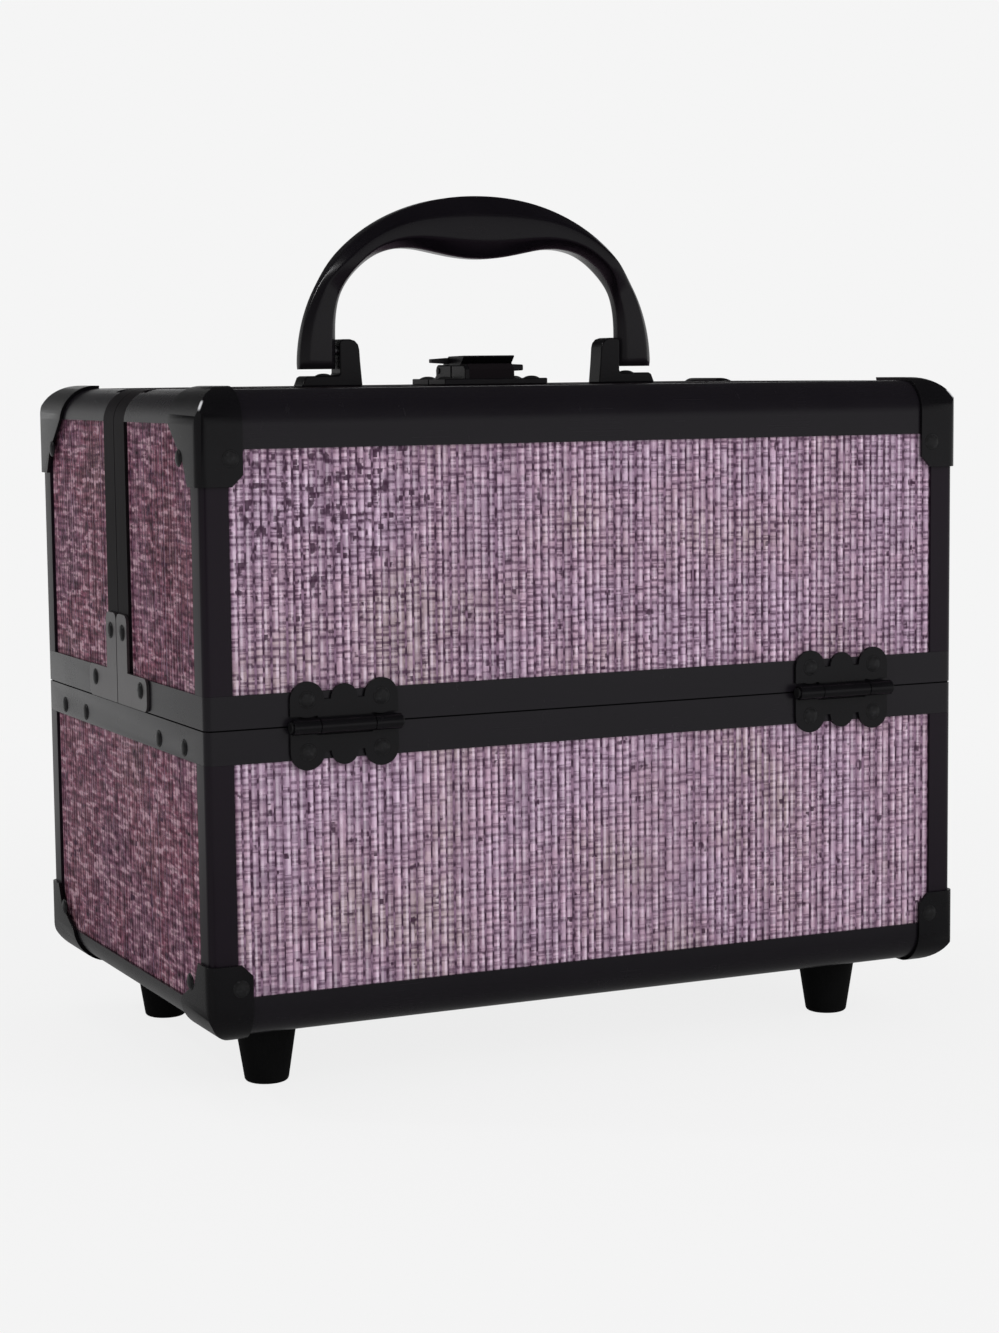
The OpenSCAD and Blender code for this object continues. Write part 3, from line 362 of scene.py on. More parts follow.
def hand_over(geometry, material):
    """Ends a tree: instances become real and take the piece's material."""
    real = geometry.node("GeometryNodeRealizeInstances", {}, {0: geometry})
    done = real.node("GeometryNodeSetMaterial", {}, {"Geometry": real, "Material": material})
    end = done.tree.nodes.new("NodeGroupOutput")
    done.tree.links.new(done.socket, end.inputs[0])


def grow(piece, tree, values):
    """Runs the tree on the piece with these inputs, and keeps the result as a plain mesh."""
    modifier = piece.modifiers.new(tree.name, "NODES")
    modifier.node_group = tree
    for item in tree.interface.items_tree:
        if item.item_type == "SOCKET" and item.in_out == "INPUT" and item.name in values:
            modifier[item.identifier] = values[item.name]
    made_plain(piece, modifier)


# The narrowest and the widest rib, as shares of the usual width
RIB_LEAST = 0.86
RIB_MOST = 1.06
rib_tree, rib_in = node_tree("foil_ribs", [
    ("Count", "Int"), ("Pitch", "Float"), ("Rib width", "Float"), ("Rise", "Float"),
    ("Wander", "Float"), ("First number", "Int"), ("Seed", "Int"), ("Finish", "Material")])
rib_number = rib_in.node("GeometryNodeInputIndex")
rib_wander = rib_in.node("FunctionNodeRandomValue", {"data_type": "FLOAT"},
                         {2: -1.0, 3: 1.0, "Seed": rib_in.named("Seed")}, 1)
rib_places = rib_in.node("GeometryNodeMeshLine", {}, {
    "Count": rib_in.named("Count"),
    "Offset": rib_in.point(rib_in.named("Pitch"), 0.0)})
rib_places = rib_in.node("GeometryNodeSetPosition", {}, {
    "Geometry": rib_places, "Offset": rib_in.point(rib_wander * rib_in.named("Wander"), 0.0)})
rib_thickness = rib_in.node("FunctionNodeRandomValue", {"data_type": "FLOAT"},
                            {2: RIB_LEAST, 3: RIB_MOST, "Seed": rib_in.named("Seed") + 5}, 1)
rib_scale = rib_in.point(rib_in.named("Rib width") * rib_thickness, rib_in.named("Rise"), 1.0)
ribs = rib_in.node("GeometryNodeInstanceOnPoints", {}, {
    "Points": rib_places, "Instance": rib_in, "Scale": rib_scale})
ribs = ribs.node("GeometryNodeStoreNamedAttribute", {"data_type": "FLOAT", "domain": "INSTANCE"}, {
    "Geometry": ribs, "Name": "rib", "Value": rib_number + rib_in.named("First number")})
hand_over(ribs, rib_in.named("Finish"))

RIB_PROFILE = [(-0.5, 0.0), (-0.40, 0.75), (-0.26, 1.0), (0.0, 0.72), (0.26, 1.0), (0.40, 0.75),
               (0.5, 0.0)]
RIB_WIDTH = 0.00232
END_RIB_WIDTH = 0.00265
RIB_RISE = 0.00022
END_RIB_RISE = 0.00010
RIB_WANDER = 0.00016


def foil_ribs(name, body, first, length, width, placing, material, seed):
    """The ribs of one panel. They stand side by side along local X, rise towards -Y, and run up Z."""
    piece = lofted(name, [[[(x, -y, z) for x, y in RIB_PROFILE] for z in (0.0, length)]])
    uv = piece.data.uv_layers.new(name="rib_place")
    for loop in piece.data.loops:
        x, y, z = piece.data.vertices[loop.vertex_index].co
        uv.data[loop.index].uv = (x + 0.5, z)
    count = int(width / RIB_PITCH)
    pitch = width / count
    ends = material is shaded_end_foil
    grow(piece, rib_tree, {
        "Count": count, "Pitch": pitch, "Rib width": END_RIB_WIDTH if ends else RIB_WIDTH,
        "Rise": END_RIB_RISE if ends else RIB_RISE, "Wander": RIB_WANDER, "First number": first,
        "Seed": seed, "Finish": material})
    piece.data.transform(Matrix.Translation(((pitch - width) / 2, 0, 0)))
    piece.data.transform(placing)
    settle(piece, body, "crystal_board")


HALF_X = BODY_WIDTH / 2
HALF_Y = BODY_DEPTH / 2
FACE_X = HALF_X - FACE_DEPTH
FACE_Y = HALF_Y - FACE_DEPTH
BOTTOM_STRIP = 0.0153
TOP_STRIP = 0.020
END_STRIP = 0.0115
BASE_TOP = PARTING_Z - HALF_GAP - RIM_STRIP + TUCK
LID_LOW = PARTING_Z + HALF_GAP + RIM_STRIP - TUCK
SPLIT_STRIP = 0.012
CARRY_STRIP = 0.018
FLAT_STRIP = 0.014


def turned(angle, offset):
    return Matrix.Rotation(math.radians(angle), 4, "Z") @ Matrix.Translation(offset)


def upright_ribs(name, body, first, low, high, span, angle, depth, middle, material, seed):
    foil_ribs(name, body, first, high - low, span, turned(angle, (middle, -depth, low)), material, seed)


FRONT_SPAN = BODY_WIDTH - 2 * POST_STRIP
END_SPAN = BODY_DEPTH - 2 * POST_STRIP
LID_END_SPAN = HALF_Y - POST_STRIP - SPLIT_STRIP - HALF_GAP
LID_END_MIDDLE = POST_STRIP / 2 - SPLIT_STRIP / 2 - HALF_GAP / 2 - HALF_Y / 2
low_front = FLOOR_Z + BOTTOM_STRIP - TUCK
low_end = FLOOR_Z + END_STRIP - TUCK
high_front = TOP_Z - TOP_STRIP + TUCK
high_end = TOP_Z - END_STRIP + TUCK
for k, (side, angle) in enumerate((("front", 0), ("back", 180), ("left", -90), ("right", 90))):
    low, span, depth, foil = ((low_end, END_SPAN, FACE_X, shaded_end_foil) if k > 1
                              else (low_front, FRONT_SPAN, FACE_Y, crystal_foil))
    upright_ribs("base_" + side + "_foil", "base", 200 * k, low, BASE_TOP, span, angle, depth, 0, foil,
                 11 + k)
for lid, angle, seed in (("front_lid", 0, 20), ("back_lid", 180, 30)):
    side = -1 if angle else 1
    upright_ribs(lid + "_face_foil", lid, 40 * seed, LID_LOW, high_front, FRONT_SPAN, angle, FACE_Y, 0,
                 crystal_foil, seed)
    # The end panels lie in front of or behind the split, so their middle is off the case's middle
    upright_ribs(lid + "_left_foil", lid, 40 * seed + 120, LID_LOW, high_end, LID_END_SPAN, -90, FACE_X,
                 -side * LID_END_MIDDLE, shaded_end_foil, seed + 1)
    upright_ribs(lid + "_right_foil", lid, 40 * seed + 160, LID_LOW, high_end, LID_END_SPAN, 90, FACE_X,
                 side * LID_END_MIDDLE, shaded_end_foil, seed + 2)
    lie_flat = (turned(angle, (0, FLAT_STRIP - TUCK - HALF_Y, TOP_Z - FACE_DEPTH))
                @ Matrix.Rotation(math.radians(-90), 4, "X"))
    foil_ribs(lid + "_top_foil", lid, 40 * seed + 200,
              HALF_Y - FLAT_STRIP - CARRY_STRIP - HALF_GAP + 2 * TUCK, BODY_WIDTH - 2 * FLAT_STRIP,
              lie_flat, crystal_foil, seed + 3)

# Floor board and linings
# The bottom is a board with plain black foil. Inside, the base and the lids are lined with black
# nap cloth glued to the board.

BOARD_BLACK = (0.016, 0.015, 0.017)
BOARD_GREY = (0.030, 0.029, 0.032)
black_board, board_shader, board_place = finish("black_board", 0.55, Specular_IOR_Level=0.3)
board_grain = board_place.stretched(1.0, 4.0, 4.0).noise(160.0, 3.0)
feed(board_shader, Base_Color=board_grain.tint(BOARD_BLACK, BOARD_GREY), Normal=board_grain.bump(0.0002))
dress(black_board, "base_floor_panel")

NAP_DARK = (0.010, 0.009, 0.011)
NAP_LIGHT = (0.034, 0.031, 0.036)
nap_cloth, nap_shader, nap_place = finish("nap_cloth", 0.95, Specular_IOR_Level=0.15)
nap_pile = nap_place.noise(1900.0, 3.0, 0.65)
nap_brushed = nap_place.noise(28.0, 2.0)
feed(nap_shader, Base_Color=(nap_pile * 0.6 + nap_brushed * 0.4).tint(NAP_DARK, NAP_LIGHT),
     Normal=nap_pile.bump(0.0003, 0.6))
nap_shader.inputs["Sheen Weight"].default_value = 0.35
dress(nap_cloth, "base_lining", "front_lid_lining", "back_lid_lining")

# Black frame
# The rims, rails and posts are drawn aluminium strips, mitred, riveted, and anodised satin black.
# Their edges are broken by tumbling, and their faces keep the fine lines of the drawing.

RAIL_BLACK = (0.0064, 0.0054, 0.0072)
POST_BLACK = (0.0078, 0.0052, 0.0084)
SPLIT_BLACK = (0.0070, 0.0057, 0.0066)
FRAME_WORN = (0.018, 0.016, 0.019)


def black_metal(name, black, streak, roughness, gloss):
    """Satin black metal, with fine lines drawn out along the piece."""
    material, shader, place = finish(name, roughness, Specular_IOR_Level=gloss)
    lines = place.stretched(*streak).noise(1.0, 2.0)
    cloud = place.noise(38.0, 3.0)
    scuffs = place.stretched(1.0, 1.0, 0.35).noise(150.0, 4.0, 0.7).between(0.62, 0.80)
    base = (cloud * 0.5 + lines * 0.2).tint(black, tuple(1.6 * c for c in black))
    feed(shader, Base_Color=(scuffs * 0.35).tint(base, FRAME_WORN),
         Roughness=cloud * 0.10 + lines * 0.05 + scuffs * 0.08 + (roughness - 0.08),
         Normal=lines.bump(0.00003, 0.35))
    return material


rail_black = black_metal("rail_black", RAIL_BLACK, (12.0, 900.0, 900.0), 0.26, 0.18)
post_black = black_metal("post_black", POST_BLACK, (900.0, 900.0, 12.0), 0.32, 0.13)
split_black = black_metal("split_black", SPLIT_BLACK, (900.0, 900.0, 12.0), 0.40, 0.015)

MERGE_DISTANCE = 1e-6
FLAT_ANGLE = 0.4
EASED_ANGLE = 33


def round_edges(piece, width, steps, angle):
    """Breaks the edges at which the piece turns by more than this angle in degrees."""
    bevel = piece.modifiers.new("broken_edges", "BEVEL")
    bevel.width = width
    bevel.segments = steps
    bevel.limit_method = "ANGLE"
    bevel.angle_limit = math.radians(angle)
    bevel.harden_normals = True
    made_plain(piece, bevel)


def eased(node, width, material, slot, steps=2):
    """A copy of a CAD node with its sharp edges broken, which then stands for the node."""
    source = frame["nodes"][node]
    mesh = source.data.copy()
    work = bmesh.new()
    work.from_mesh(mesh)
    bmesh.ops.remove_doubles(work, verts=work.verts, dist=MERGE_DISTANCE)
    bmesh.ops.dissolve_limit(work, angle_limit=math.radians(FLAT_ANGLE), verts=work.verts, edges=work.edges)
    for face in work.faces:
        face.smooth = True
        face.material_index = 0
    for edge in work.edges:
        edge.smooth = len(edge.link_faces) == 2 and edge.calc_face_angle(0) < math.radians(EASED_ANGLE)
    work.to_mesh(mesh)
    work.free()
    mesh.materials.clear()
    mesh.materials.append(material)
    piece = bpy.data.objects.new(node + "_eased", mesh)
    scene.collection.objects.link(piece)
    round_edges(piece, width, steps, EASED_ANGLE)
    settle(piece, source["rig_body"], slot, node)


EDGE_BREAK = 0.00022
eased("base_rim", EDGE_BREAK, rail_black, "black_frame")
eased("base_bottom_rails", EDGE_BREAK, rail_black, "black_frame")
eased("base_corner_posts", EDGE_BREAK, post_black, "black_frame")
for lid in ("front_lid", "back_lid"):
    eased(lid + "_lower_rim", EDGE_BREAK, rail_black, "black_frame")
    eased(lid + "_split_rim", EDGE_BREAK, split_black, "black_frame")
    eased(lid + "_edge_rails", EDGE_BREAK, rail_black, "black_frame")
    eased(lid + "_posts", EDGE_BREAK, post_black, "black_frame")

# Corner caps and joint plates
# Caps and plates are pressed from 1 mm sheet steel and powder coated satin black, which leaves a
# fine orange-peel surface and soft edges.

COAT_BLACK = (0.0030, 0.0027, 0.0033)
COAT_GREY = (0.0080, 0.0076, 0.0088)
# The colour of a painted glint on the ridge of each top corner
GLINT_WHITE = (0.62, 0.62, 0.64)
RIDGE_SPOT = (0.1491, 0.0931, 0.2410)
RIDGE_WAY = (-0.47, -0.46, 0.75)
# Where the painted glint begins to fade and ends, across the ridge and along it
SPOT_WIDTH = (0.0003, 0.0008)
SPOT_LENGTH = (0.0012, 0.0026)
# The joint plates take the caps' coat painted lighter and a little pink, as painted light
LIT_PLATE_BLACK = (0.0260, 0.0225, 0.0240)
LIT_PLATE_GREY = (0.0520, 0.0450, 0.0480)


def coated(name, black, grey, roughness, gloss):
    """Satin powder coat, with orange peel, a few rubbed spots and a painted glint on the caps' top corner
    ridges.
    """
    material, shader, place = finish(name, roughness, Specular_IOR_Level=gloss)
    peel = place.noise(1400.0, 2.0)
    cloud = place.noise(60.0, 3.0)
    rub = place.noise(210.0, 4.0, 0.7).between(0.60, 0.82)
    # How far a point lies along and off the ridge of a top corner, where the glint is painted
    reach = place.vector("SUBTRACT", place.vector("ABSOLUTE", place), RIDGE_SPOT)
    length = place.vector("LENGTH", reach, out=1)
    along = place.vector("DOT_PRODUCT", reach, RIDGE_WAY, out=1)
    off = place.maths("SQRT", place.maths("MAXIMUM", length * length - along * along, 0.0))
    painted_glint = (1.0 - off.between(*SPOT_WIDTH)) * (1.0 - along.distance(0.0).between(*SPOT_LENGTH))
    base = (cloud * 0.7 + rub * 0.3).tint(black, grey)
    feed(shader, Base_Color=painted_glint.tint(base, GLINT_WHITE),
         Roughness=cloud * 0.12 + rub * 0.10 + (roughness - 0.05), Normal=peel.bump(0.00006, 0.4))
    return material


coated_steel = coated("coated_steel", COAT_BLACK, COAT_GREY, 0.24, 0.14)
lit_plate_steel = coated("lit_plate_steel", LIT_PLATE_BLACK, LIT_PLATE_GREY, 0.30, 0.36)

PRESSED_EDGE = 0.00048
LEAF_EDGE = PRESSED_EDGE * 0.8
CAP_STEPS = 3
eased("base_corner_caps", PRESSED_EDGE, coated_steel, "black_hardware", CAP_STEPS)
for lid in ("front_lid", "back_lid"):
    eased(lid + "_corner_caps", PRESSED_EDGE, coated_steel, "black_hardware", CAP_STEPS)
    eased(lid + "_joint_plates", LEAF_EDGE, lit_plate_steel, "black_hardware")

# Rivets
# Black blind rivets with a low dome on a thin flange fix the caps, hinges, plates and arms. The small dimple
# that a mandrel leaves in each head is not drawn.

RIVET_BLACK = (0.0118, 0.0116, 0.0122)
RIVET_WORN = (0.0230, 0.0228, 0.0242)
rivet_black, rivet_shader, rivet_place = finish("rivet_black", 0.34, Specular_IOR_Level=0.09)
rivet_scuff = rivet_place.noise(700.0, 3.0, 0.6).between(0.50, 0.75)
feed(rivet_shader, Base_Color=rivet_scuff.tint(RIVET_BLACK, RIVET_WORN), Roughness=rivet_scuff * 0.2 + 0.30)

RIVET_HEAD_R = 0.0031
RIVET_HEAD_H = 0.0009
RIVET_SIDES = 20
DOME_RINGS = 10
# The dome's radius, the flange's upper radius and the flange's height, as shares of the head's
DOME_SHARE = 0.9
FLANGE_TOP = 0.93
FLANGE_HEIGHT = 0.3

rivet_tree, rivet_in = node_tree("rivet_heads", [
    ("Head radius", "Float"), ("Head height", "Float"), ("Sides", "Int"), ("Finish", "Material")])
head_r = rivet_in.named("Head radius")
head_h = rivet_in.named("Head height")
dome = rivet_in.node("GeometryNodeMeshUVSphere", {}, {
    "Segments": rivet_in.named("Sides"), "Rings": DOME_RINGS, "Radius": 1.0})
dome = dome.node("GeometryNodeTransform", {}, {
    "Geometry": dome, "Scale": rivet_in.point(head_r * DOME_SHARE, head_r * DOME_SHARE, head_h)})
flange = rivet_in.node("GeometryNodeMeshCone", {}, {
    "Vertices": rivet_in.named("Sides"), "Radius Top": head_r * FLANGE_TOP, "Radius Bottom": head_r,
    "Depth": head_h * FLANGE_HEIGHT})
head = dome.node("GeometryNodeJoinGeometry", {}, {})
head.tree.links.new(flange.socket, head.socket.node.inputs[0])
head.tree.links.new(dome.socket, head.socket.node.inputs[0])
facing = rivet_in.node("GeometryNodeInputNamedAttribute", {"data_type": "FLOAT_VECTOR"}, {"Name": "facing"})
turn = facing.node("FunctionNodeAlignRotationToVector", {"axis": "Z"}, {"Vector": facing})
heads = rivet_in.node("GeometryNodeInstanceOnPoints", {}, {
    "Points": rivet_in, "Instance": head, "Rotation": turn})
hand_over(heads, rivet_in.named("Finish"))

CAP_T = 0.0012
CAP_RIVET_X = 0.0105
CAP_RIVET_Y = 0.018
CAP_RIVET_TOP = 0.023
CAP_RIVET_LOW = 0.019
LEAF_T = 0.0012
HINGE_X = 0.100
LEAF_RIVET_X = 0.0137
LEAF_RIVET_Z = 0.009
PLATE_T = 0.001
PLATE_RIVETS = ((0.007, 0.0266), (0.027, 0.0075))
ARM_RIVETS = ((0.0715, 0.1237), (0.044, 0.1237))
LATCH_X = -0.0036
LATCH_RIVET_X = 0.0182
LATCH_RIVET_Y = 0.008
LATCH_T = 0.0024
MOUNT_RIVET_X = 0.0645
HANDLE_Y = 0.009
MOUNT_T = 0.004
SHARP_ANGLE = 40


def shade(piece):
    """Shades curved sides smooth and keeps the sharp edges."""
    for polygon in piece.data.polygons:
        polygon.use_smooth = True
    piece.data.set_sharp_from_angle(angle=math.radians(SHARP_ANGLE))


def rivet_heads(name, body, places, node):
    """Heads at these places, each given with the way that it faces."""
    piece = new_mesh(name, [place for place, way in places], [])
    facing = piece.data.attributes.new("facing", "FLOAT_VECTOR", "POINT")
    for item, (place, way) in zip(facing.data, places):
        item.vector = way
    grow(piece, rivet_tree, {"Head radius": RIVET_HEAD_R, "Head height": RIVET_HEAD_H,
                             "Sides": RIVET_SIDES, "Finish": rivet_black})
    shade(piece)
    settle(piece, body, "black_hardware", node)


base_places = []
lid_places = []
for sx in (-1, 1):
    for sy in (-1, 1):
        low_z = FLOOR_Z + CAP_RIVET_LOW
        base_places.append(((sx * (HALF_X - CAP_RIVET_X), sy * (HALF_Y + CAP_T), low_z), (0, sy, 0)))
        base_places.append(((sx * (HALF_X + CAP_T), sy * (HALF_Y - CAP_RIVET_Y), low_z), (sx, 0, 0)))
        for y, z in ARM_RIVETS:
            base_places.append(((sx * HALF_X, sy * y, z), (sx, 0, 0)))
        for s in (-1, 1):
            base_places.append(((sx * HINGE_X + s * LEAF_RIVET_X, sy * (HALF_Y + LEAF_T),
                                 PARTING_Z - LEAF_RIVET_Z), (0, sy, 0)))
    high_z = TOP_Z - CAP_RIVET_TOP
    lid_places.append(((sx * (HALF_X - CAP_RIVET_X), -HALF_Y - CAP_T, high_z), (0, -1, 0)))
    lid_places.append(((sx * (HALF_X + CAP_T), CAP_RIVET_Y - HALF_Y, high_z), (sx, 0, 0)))
    for y, z in PLATE_RIVETS:
        lid_places.append(((sx * (HALF_X + PLATE_T), -y, PARTING_Z + z), (sx, 0, 0)))
    for s in (-1, 1):
        lid_places.append(((sx * HINGE_X + s * LEAF_RIVET_X, -HALF_Y - LEAF_T,
                            PARTING_Z + LEAF_RIVET_Z), (0, -1, 0)))
back_places = [((x, -y, z), (a, -b, c)) for (x, y, z), (a, b, c) in lid_places]
for sx in (-1, 1):
    lid_places.append(((LATCH_X + sx * LATCH_RIVET_X, -LATCH_RIVET_Y, TOP_Z + LATCH_T), (0, 0, 1)))
    back_places.append(((LATCH_X + sx * LATCH_RIVET_X, LATCH_RIVET_Y, TOP_Z + LATCH_T), (0, 0, 1)))
    back_places.append(((sx * MOUNT_RIVET_X, HANDLE_Y, TOP_Z + MOUNT_T), (0, 0, 1)))
rivet_heads("base_rivet_heads", "base", base_places, "base_rivets")
rivet_heads("front_lid_rivet_heads", "front_lid", lid_places, "front_lid_rivets")
rivet_heads("back_lid_rivet_heads", "back_lid", back_places, "back_lid_rivets")

# Hinges
# Two hinges on each long side are stamped from coated steel. Each leaf has three lobes, and its
# knuckles are rolled round a steel pin with flat heads.

eased("base_hinge_leaves", LEAF_EDGE, coated_steel, "black_hardware")
for lid in ("front_lid", "back_lid"):
    eased(lid + "_hinge_leaves", LEAF_EDGE, coated_steel, "black_hardware")
dress(rivet_black, "hinge_pins")

# Feet
# Four tapered feet of black rubber are screwed on from below. Rubber is matt, with a faint bloom
# and fine dust in its pores.

RUBBER_BLACK = (0.0020, 0.0020, 0.0021)
RUBBER_BLOOM = (0.0070, 0.0070, 0.0072)
foot_rubber, rubber_shader, rubber_place = finish("foot_rubber", 0.72, Specular_IOR_Level=0.06)
rubber_pore = rubber_place.noise(1500.0, 3.0, 0.6)
rubber_bloom = rubber_place.noise(90.0, 3.0)
feed(rubber_shader, Base_Color=(rubber_bloom * 0.7 + rubber_pore * 0.3).tint(RUBBER_BLACK, RUBBER_BLOOM),
     Roughness=rubber_bloom * 0.2 + 0.58, Normal=rubber_pore.bump(0.0001, 0.4))

CAST_STEPS = 3


def moulded(name, body, slot, material, solids, edge, *nodes, joined=False):
    """A piece of lofted solids. Its faces point outward, and its edges are rounded."""
    piece = lofted(name, solids, material, joined)
    work = bmesh.new()
    work.from_mesh(piece.data)
    bmesh.ops.recalc_face_normals(work, faces=work.faces)
    work.to_mesh(piece.data)
    work.free()
    shade(piece)
    if edge:
        round_edges(piece, edge, CAST_STEPS, SHARP_ANGLE)
    settle(piece, body, slot, *nodes)


def circle(a, b, radius, sides):
    """Points round a middle, in a plane."""
    turns = [2 * math.pi * k / sides for k in range(sides)]
    return [(a + radius * math.cos(turn), b + radius * math.sin(turn)) for turn in turns]


FOOT_X = 0.117
FOOT_Y = 0.057
FOOT_TOP_R = 0.0115
FOOT_LOW_R = 0.0080
FOOT_HOLLOW_R = 0.0046
FOOT_HOLLOW_TOP = 0.0085
FOOT_RIM = 0.0006
FOOT_EDGE = 0.0015
FOOT_SIDES = 48
# Half of a foot's section: distance from its axis, height. The screw's head sits up in the hollow.
FOOT_SECTION = [(FOOT_HOLLOW_R, FOOT_HOLLOW_TOP), (FOOT_HOLLOW_R, FOOT_RIM), (FOOT_HOLLOW_R + FOOT_RIM, 0.0)]
FOOT_SECTION += [(FOOT_LOW_R - FOOT_EDGE + FOOT_EDGE * math.sin(math.radians(a)),
                  FOOT_EDGE - FOOT_EDGE * math.cos(math.radians(a))) for a in range(0, 91, 15)]
FOOT_SECTION += [(FOOT_TOP_R, FLOOR_Z)]
moulded("moulded_feet", "base", "rubber", foot_rubber, [
    [[(x, y, z) for x, y in circle(sx * FOOT_X, sy * FOOT_Y, r, FOOT_SIDES)] for r, z in FOOT_SECTION]
    for sx in (-1, 1) for sy in (-1, 1)], 0, "rubber_feet")

# Screws, pins and arms
# The swing arms, their brackets and the pins are punched from steel strip and zinc plated, with
# the fine grain of the rolling along them.

ZINC = (0.47, 0.48, 0.50)
ZINC_DULL = (0.34, 0.345, 0.355)
PUNCHED_EDGE = 0.0002
zinc_steel, zinc_shader, zinc_place = finish("zinc_steel", 0.34, 0.9)
zinc_grain = zinc_place.stretched(900.0, 60.0, 900.0).noise(1.0, 2.0)
zinc_cloud = zinc_place.noise(70.0, 3.0)
feed(zinc_shader, Base_Color=zinc_cloud.tint(ZINC_DULL, ZINC),
     Roughness=zinc_grain * 0.14 + zinc_cloud * 0.1 + 0.22, Normal=zinc_grain.bump(0.00003, 0.3))
for steel_node in ("base_arm_brackets", "front_lid_tray_brackets", "back_lid_tray_brackets",
                   "front_long_arms", "front_short_arms", "back_long_arms", "back_short_arms"):
    eased(steel_node, PUNCHED_EDGE, zinc_steel, "steel", 1)
dress(zinc_steel, "foot_screws")

# Trays
# The four trays are injection moulded in black plastic, with an even fine grain and softened rims.

TRAY_BLACK = (0.0150, 0.0145, 0.0165)
TRAY_GREY = (0.0320, 0.0310, 0.0345)
TRAY_EDGE = 0.0003
tray_plastic, tray_shader, tray_place = finish("tray_plastic", 0.50, Specular_IOR_Level=0.4)
tray_grain = tray_place.node("ShaderNodeTexVoronoi", {}, {"Vector": tray_place, "Scale": 900.0})
tray_cloud = tray_place.noise(25.0, 2.0)
feed(tray_shader, Base_Color=(tray_cloud * 0.7 + tray_grain * 0.4).tint(TRAY_BLACK, TRAY_GREY),
     Roughness=tray_cloud * 0.1 + 0.45, Normal=tray_grain.bump(0.00008, 0.35))
for side in ("front", "back"):
    for level in ("lower", "upper"):
        eased(side + "_" + level + "_tray", TRAY_EDGE, tray_plastic, "tray_plastic")

# Latch
# A keeper with a catch on the front lid and a lever on the back lid close the case. They are die
# cast, coated satin black and riveted on. A thin lip on the lever's left end gives the finger a hold.

CAST_EDGE = 0.00045
LATCH_HALF = 0.0215
LATCH_DEPTH = 0.0155
LEVER_X = -0.0038
LEVER_LEFT = 0.0093
LEVER_RIGHT = 0.0121
CATCH_RIGHT = 0.0090
CHEEK_GAP = 0.0004
CHEEK_T = 0.0021
LEVER_FROM = LEVER_X - LEVER_LEFT
LEVER_TO = LEVER_X + LEVER_RIGHT
LEVER_PIN_Y = 0.012
LEVER_PIN_Z = 0.0054
LEVER_PIN_R = 0.0012
CHEEK_R = 0.0023
CATCH_LAP = 0.0005
LUG_LENGTH = 0.0060
LUG_TAPER = 0.8
SPRING_INSET = 0.001
LIP_LENGTH = 0.0066
LIP_LAP = 0.0008
LIP_TAPER = 0.6
PIN_PROUD = 0.0004
ROD_SIDES = 24
# Flush plugs close the spare rivet holes beside the plates
PLUG_X = 0.0247
PLUG_R = 0.0021
PLUG_T = 0.0010
PLUG_RISE = 0.00005
PLUG_SIDES = 20
# Outlines are seen from the side: the distance behind the split, and the height above the lids
PLATE_OUTLINE = [(HALF_GAP, 0.0), (LATCH_DEPTH, 0.0), (LATCH_DEPTH, LATCH_T), (HALF_GAP, LATCH_T)]
KEEPER_OUTLINE = [(-y, z) for y, z in PLATE_OUTLINE]
CATCH_OUTLINE = [(-0.0129, 0.0012), (-0.0129, 0.0062), (-0.0112, 0.0080), (-0.0045, 0.0080),
                 (-0.00025, 0.00375), (-0.00025, 0.0012)]
CATCH_WALL = [(-0.0129, 0.0012), (-0.0129, 0.0060), (-0.0115, 0.0074), (-0.0004, 0.0074), (-0.0004, 0.0012)]
LUG_OUTLINE = [(-0.0086, 0.0050), (-0.0042, 0.0050), (-0.0042, 0.0078), (-0.0086, 0.0078)]
LEVER_OUTLINE = [(-0.0001, 0.0043), (0.0095, 0.0032), (0.0134, 0.0032), (0.0146, 0.0054),
                 (0.0133, 0.0078), (0.0080, 0.0109), (-0.0061, 0.0111), (-0.0064, 0.0106)]
LIP_OUTLINE = [(0.0080, 0.0080), (0.0126, 0.0080), (0.0126, 0.0104), (0.0080, 0.0104)]
SPRING_OUTLINE = [(0.0010, 0.0012), (0.0100, 0.0012), (0.0100, 0.0029), (0.0010, 0.0033)]
CHEEK_OUTLINE = [(0.0004, 0.0012), (0.0004, 0.0074)] + [
    (LEVER_PIN_Y - CHEEK_R * math.cos(math.radians(a)), LEVER_PIN_Z + CHEEK_R * math.sin(math.radians(a)))
    for a in range(60, 181, 12)] + [(LEVER_PIN_Y + CHEEK_R, 0.0036), (0.0154, 0.0030), (0.0154, 0.0012)]


def cast(name, body, slot, material, parts, edge, *nodes):
    """Solids in one piece: each an outline in Y and Z, two ends along X and the first end's size."""
    solids = []
    for outline, x0, x1, first in parts:
        mid_y = sum(y for y, z in outline) / len(outline)
        mid_z = sum(z for y, z in outline) / len(outline)
        solids.append([
            [(x0, mid_y + (y - mid_y) * first, TOP_Z + mid_z + (z - mid_z) * first) for y, z in outline],
            [(x1, y, TOP_Z + z) for y, z in outline]])
    moulded(name, body, slot, material, solids, edge, *nodes)


